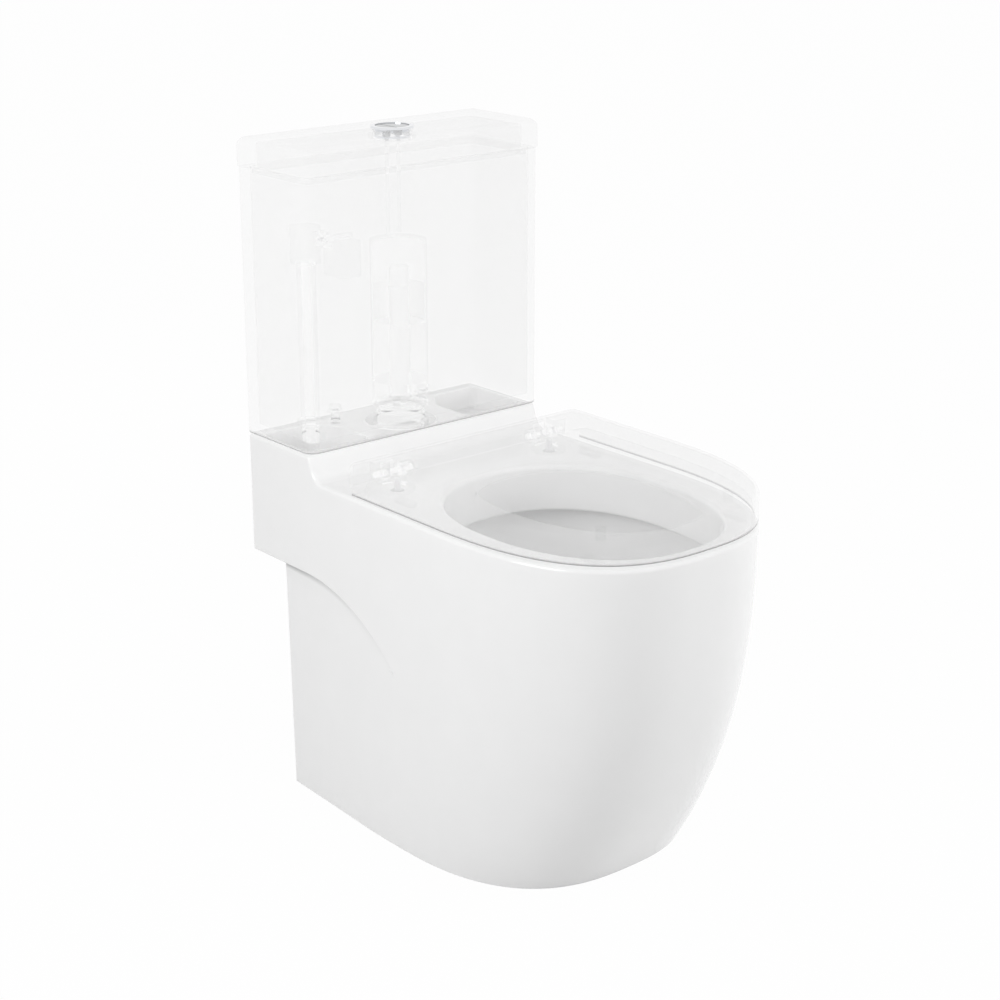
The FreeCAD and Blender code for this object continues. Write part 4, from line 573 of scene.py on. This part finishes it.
deck_holes, platform_holes, ceiling_holes = [], [], []
lip = [opening(out, RIM_TOP - down) for out, down in quarter_bend(OPENING_ROUND, ARC_STEPS)]
half_wall = RIM_WALL / 2
wall_heights = np.linspace(RIM_TOP - OPENING_ROUND, RING_BOTTOM + half_wall, RIM_WALL_STEPS)[1:]
wall_rows = [opening(0, z) for z in wall_heights]
under = [
    opening(half_wall * (1 - math.cos(a)), RING_BOTTOM + half_wall * (1 - math.sin(a)))
    for a in np.linspace(0, math.pi, RING_STEPS)[1:]
]
rim_wall = lip + wall_rows + under + [opening(RIM_WALL, CEILING)]
pan.tube(rim_wall)
deck_holes.append(rim_wall[0])
ceiling_holes.append(rim_wall[-1])

lip_turn, floor_turn = quarter_bend(POCKET_LIP, ARC_STEPS), quarter_bend(POCKET_BEND, ARC_STEPS)
for side in (-1, 1):
    hinge, bolt = (side * HINGE_X, HINGE_DISTANCE), (side * BOLT_X, BOLT_DISTANCE)
    bore_hole(hinge, HINGE_RADIUS, RIM_TOP, [(HINGE_RADIUS, CEILING)], deck_holes)
    well = [(BOLT_RADIUS, WELL_TOP), (WELL_RADIUS, WELL_TOP), (WELL_RADIUS, CEILING)]
    bore_hole(bolt, BOLT_RADIUS, PLATFORM_TOP, well, platform_holes)

    rim = [pocket(side, -out, PLATFORM_TOP - down) for out, down in lip_turn]
    foot = [pocket(side, down, POCKET_FLOOR + out) for out, down in floor_turn]
    pan.tube(rim + foot)
    platform_holes.append(rim[0])
    supply = [
        circle(side * SUPPLY_X, SUPPLY_DISTANCE, SUPPLY_RADIUS, z) for z in (POCKET_FLOOR, CEILING)
    ]
    pan.flat([foot[-1], supply[0]], level(POCKET_FLOOR))
    pan.tube(supply)
    ceiling_holes.append(supply[1])

collar = [
    (COLLAR_RADIUS, PLATFORM_TOP),
    (COLLAR_RADIUS - HOLE_ROUND / 3, COLLAR_TOP),
    (INLET_RADIUS + HOLE_ROUND, COLLAR_TOP),
    (INLET_RADIUS + HOLE_ROUND / 3, COLLAR_TOP - HOLE_ROUND / 3),
    (INLET_RADIUS, COLLAR_TOP - HOLE_ROUND),
]
collar += [(INLET_RADIUS - down, RECESS_FLOOR + out) for out, down in floor_turn]
collar += [(BORE_RADIUS + HOLE_ROUND, RECESS_FLOOR), (BORE_RADIUS, RECESS_FLOOR - HOLE_ROUND)]
collar += [(BORE_RADIUS, BORE_FLOOR)]
inlet = [circle(0, INLET_DISTANCE, r, z, ROUND_STEPS * 2) for r, z in collar]
pan.tube(inlet)
pan.flat([inlet[-1]], level(BORE_FLOOR))
platform_holes.append(inlet[0])

top_row = outer[0]
platform_edge = np.concatenate([top_row[: corner_column + 1], top_row[LAST - corner_column :]])
pan.flat([platform_edge] + platform_holes, level(PLATFORM_TOP))
deck_edge = top_row[cove_column : LAST - cove_column + 1]
pan.flat([deck_edge] + deck_holes, level(RIM_TOP))

rear_loop = np.concatenate([outer[:UPPER_COUNT, 0], outer[:UPPER_COUNT, LAST][::-1]])
pan.flat([rear_loop[:, [0, 2]]], lambda flat: at(flat[:, 0], 0.0, flat[:, 1]))

# %% [markdown]
# ## The inside of the pan
# The skirt is a single wall about 10 mm thick, open at the floor and at the back, so that the
# outlet and the supply pipe can be reached. Its inner face follows the outer one. It shows only
# when the part is turned round, and it gives the wall its thickness.

# %% Pan inside
INNER_STEPS = 16
HEIGHT_DIGITS = 6

column_start = TOP[FRONT_COLUMN:, 0] - EDGE_RADIUS * TOP[FRONT_COLUMN:, 2]


def inner_row(height):
    """The skirt's inner face at one height, from the right rear edge round to the left one."""
    distance = column_place(column_start, height)[1]
    share = lean(height)
    straight = blend(RIM_STRAIGHT, FOOT_STRAIGHT, share) - BLOCK_WALL
    half = blend(RIM_HALF, FOOT_HALF, share) - PAN_WALL
    x = REAR_INNER_HALF + (half - REAR_INNER_HALF) * (distance - BLOCK_WALL) / straight
    nx, nd = nose(TURNS, height, PAN_WALL)
    z = np.full(len(x) + len(nx), height)
    return full_row(np.array([x, distance, z[: len(x)]]), np.array([nx, nd, z[len(x) :]]))


def by_height(rows):
    """A column's points under their rounded heights, so that both edges can be paired."""
    return {round(float(point[2]), HEIGHT_DIGITS): point for point in rows}


edge_heights = by_height(outer[UPPER_COUNT - 1 :, FRONT_COLUMN])
low_heights = sorted(z for z in edge_heights if z < BLOCK_UNDERSIDE - WELD)
upper_heights = np.linspace(PLATE_TOP, CEILING, INNER_STEPS)
heights = np.concatenate([low_heights, [BLOCK_UNDERSIDE], upper_heights])
inner = np.stack([inner_row(z) for z in heights])
pan.grid(inner)
pan.grid(np.stack([outer[-1, FRONT_COLUMN : LAST - FRONT_COLUMN + 1], inner[0]]))


def quad(*corners):
    """One face with four corners."""
    pan.add(np.array(corners), [[0, 1, 2, 3]])


low_count = len(low_heights)
under_edge = outer[UPPER_COUNT - 1]
underside = [under_edge[: FRONT_COLUMN + 1]]
for column, edge in ((FRONT_COLUMN, 0), (LAST - FRONT_COLUMN, -1)):
    rows = outer[UPPER_COUNT - 1 :, column]
    at_height = by_height(rows)
    pan.grid(np.array([(at_height[z], inner[i, edge]) for i, z in enumerate(low_heights)]))
    ledge = rows[1:][rows[1:, 2] > BLOCK_UNDERSIDE - WELD]
    corner = inner[low_count, edge]
    quad(ledge[-1], corner, inner[low_count - 1, edge], at_height[low_heights[-1]])
    underside += [ledge, corner[None]] if edge == 0 else [corner[None], ledge[::-1]]
underside.append(under_edge[LAST - FRONT_COLUMN :])
pan.flat([np.concatenate(underside)], level(BLOCK_UNDERSIDE))

block_rows, other_rows = inner[low_count:, 0], inner[low_count:, -1]
side_rear = at(REAR_INNER_HALF, BLOCK_WALL, block_rows[1:, 2])
other_rear = at(-REAR_INNER_HALF, BLOCK_WALL, block_rows[1:, 2])
pan.grid(np.stack([block_rows[1:], side_rear], axis=1))
pan.grid(np.stack([other_rows[1:], other_rear], axis=1))
pan.grid(np.stack([side_rear, other_rear], axis=1))
quad(block_rows[1], side_rear[0], other_rear[0], other_rows[1])
quad(block_rows[0], block_rows[1], other_rows[1], other_rows[0])
ceiling_edge = np.concatenate([inner[-1], other_rear[-1:], side_rear[-1:]])
pan.flat([ceiling_edge] + ceiling_holes, level(CEILING))

DUCT_HALF, DUCT_REAR, DUCT_FRONT, DUCT_BOTTOM = 40 * MM, 36 * MM, 221 * MM, 399 * MM
duct = [
    at(x, distance, z)
    for z in (DUCT_BOTTOM, CEILING + MM)
    for distance in (DUCT_REAR, DUCT_FRONT)
    for x in (-DUCT_HALF, DUCT_HALF)
]
sides = [[0, 1, 3, 2], [4, 5, 7, 6], [0, 1, 5, 4], [2, 3, 7, 6], [0, 2, 6, 4], [1, 3, 7, 5]]
pan.add(np.array(duct), sides)
pan_piece = pan.object("pan_china")
# Paints the shadow that the ledge of the crease would throw on the skirt below it.
shade_crease(pan_piece)
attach(pan_piece, "pan_and_cistern")
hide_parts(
    "pan_platform", "pan_pockets", "pan_block", "pan_duct", "pan_deck", "pan_rim",
    "pan_rim_wall", "pan_skirt_right", "pan_skirt_left", "pan_nose",
)

# %% [markdown]
# ## The bowl
# The bowl hangs from the underside of the rim and narrows to the sump. Its sections follow shares
# of the way from the rim's outline to the sump's: close together where the wall is steep, and
# moving in fast where it turns under. A smooth curve through the shares gives the rows.

# %% Bowl
HEIGHT_SHARES = (1.0, 0.86, 0.72, 0.56, 0.38, 0.2, 0.07, 0.0)
REAR_SHARES = (0.0, 0.0, 0.08, 0.24, 0.45, 0.68, 0.88, 1.0)
FRONT_SHARES = (0.0, 0.0, 0.14, 0.37, 0.62, 0.83, 0.95, 1.0)
SIDE_SHARES = (0.0, 0.0, 0.13, 0.36, 0.62, 0.84, 0.96, 1.0)
CHANNEL, BOWL_WALL = 20 * MM, 9 * MM
FRONT_THINNING = 0.5
SUMP_BOTTOM, SUMP_CENTRE, SUMP_HALF_WIDTH, SUMP_HALF_LENGTH = 31 * MM, 343 * MM, 42 * MM, 43 * MM
BOWL_ROWS, CLOSING_STEPS = 56, 7
SUMP_ROUND = 14 * MM


def smooth_shares(shares):
    """A Catmull-Rom curve through the shares, read at BOWL_ROWS evenly spaced places."""
    table = np.array(shares)
    place = np.linspace(0, len(table) - 1, BOWL_ROWS)
    first = np.minimum(place.astype(int), len(table) - 2)
    t = place - first
    slope = np.gradient(table)
    slope[:2] = 0.0 if table[0] == table[1] else slope[:2]
    a, b, ma, mb = table[first], table[first + 1], slope[first], slope[first + 1]
    cube, square = t**3, t**2
    ease = (2 * cube - 3 * square + 1) * a + (cube - 2 * square + t) * ma
    return ease + (3 * square - 2 * cube) * b + (cube - square) * mb


def bowl_loops(grow):
    """The bowl's outlines from the rim down to the sump, grown by the wall's thickness."""
    centre_share = OPENING_REAR / (OPENING_REAR + OPENING_FRONT)
    rim_rear = OPENING_CENTRE - OPENING_REAR - CHANNEL - grow
    rim_front = OPENING_CENTRE + OPENING_FRONT + CHANNEL + grow * FRONT_THINNING
    sump_reach = SUMP_HALF_LENGTH + grow
    tables = (HEIGHT_SHARES, REAR_SHARES, FRONT_SHARES, SIDE_SHARES)
    loops = []
    for height, rear_share, front_share, side_share in zip(*map(smooth_shares, tables)):
        rear = blend(rim_rear, SUMP_CENTRE - sump_reach, rear_share)
        front = blend(rim_front, SUMP_CENTRE + sump_reach, front_share)
        half = blend(OPENING_HALF + CHANNEL + grow, SUMP_HALF_WIDTH + grow, side_share)
        length = front - rear
        centre = rear + length * centre_share
        z = blend(SUMP_BOTTOM - grow, CEILING, height)
        loops.append(egg(half, centre, centre - rear, front - centre, z))
    return loops


def closing(loop, radius):
    """Outlines that round a loop over into a flat bottom, shrinking it about its own middle."""
    middle = loop.mean(axis=0)
    size = np.linalg.norm(loop - middle, axis=1).max()
    done = []
    for a in np.linspace(0, math.pi / 2, CLOSING_STEPS)[1:]:
        ring = middle + (loop - middle) * (1 - radius / size * (1 - math.cos(a)))
        ring[:, 2] = loop[:, 2] - radius * math.sin(a)
        done.append(ring)
    return done


bowl = Skin()
inner_wall = bowl_loops(0.0)
inner_wall = [loop for loop in inner_wall if loop[0, 2] >= SUMP_BOTTOM + SUMP_ROUND]
last = inner_wall[-1]
inner_wall += closing(last, last[0, 2] - SUMP_BOTTOM)
outer_wall = bowl_loops(BOWL_WALL)
bowl.tube(outer_wall[::-1] + inner_wall)
bowl.flat([inner_wall[-1]], level(inner_wall[-1][0, 2]))
bowl.flat([outer_wall[-1]], level(outer_wall[-1][0, 2]))
bowl_piece = bowl.object("bowl_china")

TRAP_RADIUS, TRAP_HEIGHT, TRAP_REACH, TRAP_SIDES = 43 * MM, 75 * MM, 120 * MM, 96
bpy.ops.mesh.primitive_cylinder_add(
    vertices=TRAP_SIDES,
    radius=TRAP_RADIUS,
    depth=TRAP_REACH,
    location=(0, WALL_Y - SUMP_CENTRE + TRAP_REACH / 2, TRAP_HEIGHT),
    rotation=(math.pi / 2, 0, 0),
)
trap_cutter = bpy.context.object
hole = bowl_piece.modifiers.new("trap_mouth", "BOOLEAN")
hole.object = trap_cutter
hole.operation = "DIFFERENCE"
hole.solver = "EXACT"
bpy.context.view_layer.update()
graph = bpy.context.evaluated_depsgraph_get()
cut_mesh = bpy.data.meshes.new_from_object(bowl_piece.evaluated_get(graph))
bowl_piece.modifiers.clear()
bowl_piece.data = cut_mesh
bpy.data.objects.remove(trap_cutter)
smooth(cut_mesh)
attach(bowl_piece, "pan_and_cistern")
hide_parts("pan_bowl", "pan_sump")

# %% [markdown]
# ## The springs under the buttons
# Each button half is pushed up again by a small coil of wire round its rod. A solid spring could
# only slide through the bezel as the button goes down, so each coil is made anew and set on its
# button's body. Its wire is a ring of points carried up a helix.

# %% Springs
SPRING_TURNS, WIRE_RADIUS, WIRE_SIDES, TURN_STEPS = 5, 0.6 * MM, 10, 28
SPRING_GAP = 0.15 * MM


def spring(name, node):
    """A coil in the node's box. The helix turns evenly as it rises, and the wire's ring stands in
    the plane of the outward direction and the helix's own upward one.
    """
    low, high = np.array(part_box(node)[0]), np.array(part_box(node)[1])
    middle = (low + high) / 2
    radius = (high[0] - low[0]) / 2 - WIRE_RADIUS - SPRING_GAP
    turn = np.linspace(0, 2 * math.pi * SPRING_TURNS, SPRING_TURNS * TURN_STEPS + 1)[:, None]
    round_wire = np.linspace(0, 2 * math.pi, WIRE_SIDES, endpoint=False)[None, :]
    reach = radius + WIRE_RADIUS * np.cos(round_wire)
    climb = blend(low[2] + WIRE_RADIUS, high[2] - WIRE_RADIUS, turn / turn[-1])
    x, y = middle[0] + reach * np.cos(turn), middle[1] + reach * np.sin(turn)
    wire = np.stack([x, y, climb + WIRE_RADIUS * np.sin(round_wire)], axis=-1)
    skin = Skin()
    skin.grid(wire, round_=True)
    for end in (wire[0], wire[-1]):
        skin.add(end, [list(range(WIRE_SIDES))])
    return skin.object(name), low, high


springs = []
for name, node, joint, body in (
    ("full_coil", "full_spring", "full_press", "full_button"),
    ("half_coil", "half_spring", "half_press", "half_button"),
):
    coil, low, high = spring(name, node)
    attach(coil, body)
    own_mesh(coil)
    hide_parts(node)
    springs.append(coil)

# %% [markdown]
# ## Finishes
# Every finish is a small set of nodes in object coordinates. `fine_grain` turns noise into a small
# change of colour and roughness. `surface_wave` gives the height for the bump: long soft waves for
# glaze, short ones for moulded plastic and rubber. `joint_shade` marks the lowest strip of an
# upright wall, where the shadow of a joint is painted.

# %% Node groups
GRAIN_DETAIL, WAVE_DETAIL, FINE_SHARE = 3.0, 1.0, 0.25
COLOR_DRIFT = 0.1
UPRIGHT, LYING = 0.6, 0.9


def new_group(name, inputs, outputs):
    """An empty node group. Sockets named Color are colours, and all the others are numbers."""
    group = bpy.data.node_groups.new(name, "ShaderNodeTree")
    for way, names in (("INPUT", inputs), ("OUTPUT", outputs)):
        for socket in names:
            kind = "NodeSocketColor" if socket == "Color" else "NodeSocketFloat"
            group.interface.new_socket(socket, in_out=way, socket_type=kind)
    start = group.nodes.new("NodeGroupInput")
    end = group.nodes.new("NodeGroupOutput")
    return group, start.outputs, end.inputs


def feed(tree, source, target):
    """Feeds a socket from another node's output or with a plain value."""
    if isinstance(source, bpy.types.NodeSocket):
        tree.links.new(source, target)
    else:
        target.default_value = source


def new_node(tree, kind, *sources, operation=None, **named):
    """A shader node, fed in the order of its sockets and then by their names."""
    made = tree.nodes.new("ShaderNode" + kind)
    if operation:
        made.operation = operation
    for source, target in zip(sources, made.inputs):
        feed(tree, source, target)
    for name, source in named.items():
        feed(tree, source, made.inputs[name])
    return made


def calculate(tree, operation, *sources):
    """The result of a Math node."""
    return new_node(tree, "Math", *sources, operation=operation).outputs[0]


def ramp(tree, value, low, high, at_low, at_high):
    """A straight ramp from at_low to at_high between two values, and level outside them."""
    return new_node(tree, "MapRange", value, low, high, at_low, at_high).outputs[0]


def upward(tree, output):
    """The Z of the object's coordinates or of its normals."""
    place = new_node(tree, "TexCoord").outputs[output]
    return new_node(tree, "SeparateXYZ", place).outputs["Z"]


def fine_grain_group():
    """Colour and roughness that drift a little with noise: value * (1 + amount * (noise - 0.5)).
    The colour takes a tenth of that drift.
    """
    inputs = ("Color", "Roughness", "Scale", "Amount")
    group, start, end = new_group("fine_grain", inputs, ("Color", "Roughness"))
    place = new_node(group, "TexCoord").outputs["Object"]
    noise = new_node(group, "TexNoise", place, Scale=start["Scale"], Detail=GRAIN_DETAIL)
    centred = calculate(group, "SUBTRACT", noise.outputs["Fac"], 0.5)
    drift = calculate(group, "MULTIPLY_ADD", centred, start["Amount"], 1.0)
    small_drift = calculate(group, "MULTIPLY_ADD", drift, COLOR_DRIFT, 1 - COLOR_DRIFT)
    tint = new_node(group, "VectorMath", start["Color"], operation="SCALE", Scale=small_drift)
    feed(group, tint.outputs[0], end["Color"])
    feed(group, calculate(group, "MULTIPLY", start["Roughness"], drift), end["Roughness"])
    return group


def surface_wave_group():
    """A height for the bump: long waves plus finer ones at a quarter of their strength."""
    group, start, end = new_group("surface_wave", ("Scale", "Fine"), ("Height",))
    place = new_node(group, "TexCoord").outputs["Object"]
    finer = calculate(group, "MULTIPLY", start["Scale"], start["Fine"])
    long_waves = new_node(group, "TexNoise", place, Scale=start["Scale"], Detail=WAVE_DETAIL)
    short_waves = new_node(group, "TexNoise", place, Scale=finer)
    heights = short_waves.outputs["Fac"], FINE_SHARE, long_waves.outputs["Fac"]
    feed(group, calculate(group, "MULTIPLY_ADD", *heights), end["Height"])
    return group


# The mask of a painted shadow in the joint under an upright wall.
def joint_shade_group():
    """1 at the height From, fading to 0 at the height To, and 0 on faces that lie level."""
    group, start, end = new_group("joint_shade", ("From", "To"), ("Mask",))
    strip = ramp(group, upward(group, "Object"), start["From"], start["To"], 1.0, 0.0)
    slant = calculate(group, "ABSOLUTE", upward(group, "Normal"))
    upright = ramp(group, slant, UPRIGHT, LYING, 1.0, 0.0)
    feed(group, calculate(group, "MULTIPLY", strip, upright), end["Mask"])
    return group


FINE_GRAIN = fine_grain_group()
SURFACE_WAVE = surface_wave_group()
JOINT_SHADE = joint_shade_group()
print("node groups:", [group.name for group in (FINE_GRAIN, SURFACE_WAVE, JOINT_SHADE)])

# %% [markdown]
# ## From groups to materials
# One function wires the groups to a Principled shader. The china is nearly white, smooth and
# coated. The see-through finish is a white of its own with a low alpha, so each wall of the
# cistern veils what is behind it a little. What stands inside the cistern has a lower alpha still,
# because the picture leaves it out. The dark lines in the joints and under the ledge in the skirt
# are painted, because a veil throws no shadow and the ledge is too shallow for one in such soft
# light.

# %% Materials
DEEPEST = 6.5
# Strength of the painted glow of a closed veil, in place of the white behind it.
PAINTED_GLOW = 0.2
# Colour and alpha of the painted shadow in the joints under the cover and the tank.
SHADE_COLOR, SHADE_ALPHA = (0.12, 0.12, 0.12, 1), 0.9
# Black is mixed into the china by up to CREASE_DARK for the painted shadow under the ledge.
BLACK, CREASE_DARK = (0, 0, 0, 1), 0.9
# Heights of the strips that carry the painted joint shadow.
COVER_SHADOW_STRIP, TANK_SHADOW_STRIP = 4 * MM, 5 * MM
FAINT = 0.05


def grouped(tree, group, **values):
    """A node of one of the groups above."""
    made = tree.nodes.new("ShaderNodeGroup")
    made.node_tree = group
    for name, value in values.items():
        made.inputs[name].default_value = value
    return made.outputs


def finish(name, color, rough, scale=20.0, amount=0.3, wave=30.0, fine=8.0, bump=0.02, **extra):
    """A Principled material with grain and bump. extra sets other sockets by their names."""
    material = bpy.data.materials.new(name)
    material.use_nodes = True
    tree = material.node_tree
    shader = tree.nodes["Principled BSDF"]
    grain = grouped(
        tree, FINE_GRAIN, Color=(*color, 1), Roughness=rough, Scale=scale, Amount=amount
    )
    waves = grouped(tree, SURFACE_WAVE, Scale=wave, Fine=fine)
    relief = new_node(tree, "Bump", Strength=bump, Distance=MM, Height=waves["Height"])
    feed(tree, grain["Color"], shader.inputs["Base Color"])
    feed(tree, grain["Roughness"], shader.inputs["Roughness"])
    feed(tree, relief.outputs["Normal"], shader.inputs["Normal"])
    for socket, value in extra.items():
        shader.inputs[socket.replace("_", " ")].default_value = value
    return material


def darken(material, factor, color):
    """Mixes a colour into the base colour: base * (1 - factor) + color * factor."""
    tree = material.node_tree
    base = tree.nodes["Principled BSDF"].inputs["Base Color"]
    mixed = tree.nodes.new("ShaderNodeMix")
    mixed.data_type = "RGBA"
    for name, source in (("Factor", factor), ("A", base.links[0].from_socket), ("B", color)):
        feed(tree, source, mixed.inputs[name])
    feed(tree, mixed.outputs["Result"], base)
    return material


def close_in(material, amount):
    """Raises the alpha to an amount where that is higher."""
    tree = material.node_tree
    alpha = tree.nodes["Principled BSDF"].inputs["Alpha"]
    feed(tree, calculate(tree, "MAXIMUM", amount, alpha.links[0].from_socket), alpha)
    return material


def see_through(name, color, rough, alpha, **extra):
    """The same material as a veil. Blender follows a ray through eight walls and then draws
    black. So from the wall after DEEPEST on, a veil closes and gives off a faint painted glow in
    place of the white behind it.
    """
    material = finish(name, color, rough, **extra)
    tree = material.node_tree
    shader = tree.nodes["Principled BSDF"]
    path = new_node(tree, "LightPath")
    last = calculate(tree, "GREATER_THAN", path.outputs["Transparent Depth"], DEEPEST)
    feed(tree, calculate(tree, "MAXIMUM", last, alpha), shader.inputs["Alpha"])
    # A painted glow where the veil closes, in place of the white behind it.
    feed(tree, last, shader.inputs["Emission Color"])
    shader.inputs["Emission Strength"].default_value = PAINTED_GLOW
    return material


def shade_joint(material, low, height):
    """Paints the shadow of the joint below a veil: darkens and closes the veil along its lowest
    strip.
    Only faces that look at the camera take part, so that the far side of a cover stays clear.
    """
    tree = material.node_tree
    strip = grouped(tree, JOINT_SHADE, From=low, To=low + height)
    facing = calculate(tree, "SUBTRACT", 1.0, new_node(tree, "NewGeometry").outputs["Backfacing"])
    mask = calculate(tree, "MULTIPLY", strip["Mask"], facing)
    darken(material, mask, SHADE_COLOR)
    return close_in(material, calculate(tree, "MULTIPLY", mask, SHADE_ALPHA))


# The painted shadow under the ledge of the crease, read from the points.
def shade_below_ledge(material):
    """Darkens the base colour by up to CREASE_DARK where the points carry crease_shade."""
    tree = material.node_tree
    shade = new_node(tree, "Attribute")
    shade.attribute_name = "crease_shade"
    return darken(material, calculate(tree, "MULTIPLY", shade.outputs["Fac"], CREASE_DARK), BLACK)


def stand_out(material, height):
    """Closes a veil above a height, so that only what stands out of the lid shows in full."""
    tree = material.node_tree
    return close_in(material, ramp(tree, upward(tree, "Object"), height - MM, height, 0.0, 1.0))


VEIL = {"color": (0.84, 0.84, 0.84), "rough": 0.2, "alpha": 0.13, "wave": 10.0, "bump": 0.03}
PLATED = {"rough": 0.06, "alpha": FAINT, "scale": 90.0, "wave": 20.0, "bump": 0.01, "Metallic": 1.0}
cover_low, tank_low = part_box("seat_cover")[0][2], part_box("cistern_tank")[0][2]
lid_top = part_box("cistern_lid")[1][2]

china = finish("glazed_china", (0.86, 0.86, 0.86), 0.1, wave=14.0, bump=0.05, Coat_Weight=0.3)
# The china carries the painted shadow under the ledge of the crease.
shade_below_ledge(china)
ghost = see_through("see_through_white", **VEIL)
# The cover and the tank carry a painted joint shadow along their lowest strip.
ghost_cover = shade_joint(see_through("see_through_cover", **VEIL), cover_low, COVER_SHADOW_STRIP)
ghost_tank = shade_joint(see_through("see_through_tank", **VEIL), tank_low, TANK_SHADOW_STRIP)
faint_plastic = see_through("faint_plastic", (0.8, 0.8, 0.8), 0.35, FAINT, wave=60.0, bump=0.1)
faint_rubber = see_through("faint_rubber", (0.5, 0.5, 0.5), 0.6, FAINT, wave=220.0, bump=0.2)
faint_steel = see_through("faint_steel", (0.6, 0.6, 0.61), 0.3, FAINT, scale=400.0, wave=90.0)
chrome = stand_out(see_through("polished_chrome", (0.78, 0.79, 0.81), **PLATED), lid_top)
dark_chrome = stand_out(see_through("dark_chrome", (0.42, 0.43, 0.44), **PLATED), lid_top)
print("materials:", [material.name for material in bpy.data.materials])

# %% [markdown]
# ## Dressing the nodes
# The pan's hidden tubes and lugs, the cistern, the seat and the fittings keep their solids from
# the frame. Only their material slots change. A see-through shape neither shades the china below
# it nor throws light on it, so the deck and the bowl stay bright.

# %% Dress
SEEN_THROUGH = ("cistern_tank", "cistern_lid", "seat_ring", "seat_cover")
CHROMED = ("button_bezel", "button_full", "button_half")
CHINA = ("pan_lugs", "pan_trapway", "pan_outlet", "pan_spigot")
slot_of = {part["node"]: part["material_slot"] for part in frame["record"]["subparts"]}
BY_SLOT = {"seal_rubber": faint_rubber, "buffer_rubber": faint_rubber, "fixing_steel": faint_steel}


def material_for(name):
    """The finish of a node that keeps its own solid."""
    if name in SEEN_THROUGH:
        return {"seat_cover": ghost_cover, "cistern_tank": ghost_tank}.get(name, ghost)
    if name in CHROMED:
        return chrome if name == "button_bezel" else dark_chrome
    if name in CHINA:
        return china
    return BY_SLOT.get(slot_of[name], faint_plastic)


def paint(thing, material, solid):
    """Gives an object one material. What isn't solid throws no shadow and no light."""
    thing.data.materials.clear()
    thing.data.materials.append(material)
    thing.visible_shadow = thing.visible_diffuse = solid


for name, node in nodes.items():
    paint(node, material_for(name), name in CHROMED + CHINA)
for piece in (pan_piece, bowl_piece):
    paint(piece, china, True)
for coil in springs:
    paint(coil, faint_steel, False)
print("see-through:", SEEN_THROUGH, "chrome:", CHROMED)

# %% [markdown]
# ## The studio
# The backdrop and the floor read as plain white to the camera and to anything shiny. Every other
# ray finds a softer white, so the china keeps its shading and the floor its faint shadow. Five
# wide lamps light the toilet: one near its left side, one far to its right, and weaker ones in
# front, above and behind.

# %% Studio
WHITE = (1.0, 1.0, 1.0, 1.0)
SOFT_STRENGTH = 0.6
FLOOR_WHITE_SHARE, FLOOR_GREY, FLOOR_HALF = 0.98, (0.65, 0.65, 0.65, 1), 30.0
# Name, place and aim in metres, width and height, power in watts, and whether it shows in gloss.
LAMPS = (
    ("key", (-1.55, -0.1, 1.1), (0, 0, 0.3), (0.9, 0.9), 10.6, True),
    ("right", (2.0, -1.5, 1.0), (0, 0, 0.35), (1.0, 1.4), 20, False),
    ("front", (0.6, -2.4, 0.9), (0, 0, 0.4), (1.2, 1.0), 6.5, False),
    ("top", (-0.5, -1.0, 2.2), (0, 0, 0.4), (1.2, 1.2), 5, False),
    ("rear", (0.4, 2.3, 1.3), (0, 0.3, 0.4), (1.2, 1.2), 9, False),
)


def sees_white(tree):
    """1 for camera, glossy and transmission rays, and 0 for all others."""
    path = new_node(tree, "LightPath").outputs
    first = calculate(tree, "MAXIMUM", path["Is Camera Ray"], path["Is Glossy Ray"])
    return calculate(tree, "MAXIMUM", first, path["Is Transmission Ray"])


def mix_shader(tree, factor, first, second, output):
    """Sends a mix of two shaders to an output node."""
    choice = new_node(tree, "MixShader", factor, first.outputs[0], second.outputs[0])
    new_node(tree, output, Surface=choice.outputs[0])


def lamp(name, place, aim, size, power, mirrored):
    """A wide lamp at a place, turned towards an aim."""
    light = bpy.data.lights.new(name, "AREA")
    light.shape = "RECTANGLE"
    light.size, light.size_y = size
    light.energy = power
    thing = new_object(name, light)
    thing.location = place
    thing.visible_camera = False
    thing.visible_glossy = mirrored
    direction = Vector(aim) - Vector(place)
    thing.rotation_euler = direction.to_track_quat("-Z", "Y").to_euler()


scene = bpy.context.scene
scene.view_settings.view_transform = "Standard"
world = bpy.data.worlds.new("studio")
scene.world = world
world.use_nodes = True
tree = world.node_tree
tree.nodes.clear()
soft = new_node(tree, "Background", Color=WHITE, Strength=SOFT_STRENGTH)
white = new_node(tree, "Background", Color=WHITE, Strength=1.0)
mix_shader(tree, sees_white(tree), soft, white, "OutputWorld")

floor_mesh = bpy.data.meshes.new("floor")
corners = [(x * FLOOR_HALF, y * FLOOR_HALF, 0) for x, y in ((-1, -1), (1, -1), (1, 1), (-1, 1))]
floor_mesh.from_pydata(corners, [], [(0, 1, 2, 3)])
floor = new_object("floor", floor_mesh)
floor_paint = bpy.data.materials.new("floor_white")
floor_paint.use_nodes = True
tree = floor_paint.node_tree
tree.nodes.clear()
matte = new_node(tree, "BsdfDiffuse", Color=FLOOR_GREY)
glow = new_node(tree, "Emission", Color=WHITE)
share = calculate(tree, "MULTIPLY", sees_white(tree), FLOOR_WHITE_SHARE)
mix_shader(tree, share, matte, glow, "OutputMaterial")
floor_mesh.materials.append(floor_paint)

for row in LAMPS:
    lamp(*row)
print("lamps:", [row[0] for row in LAMPS])
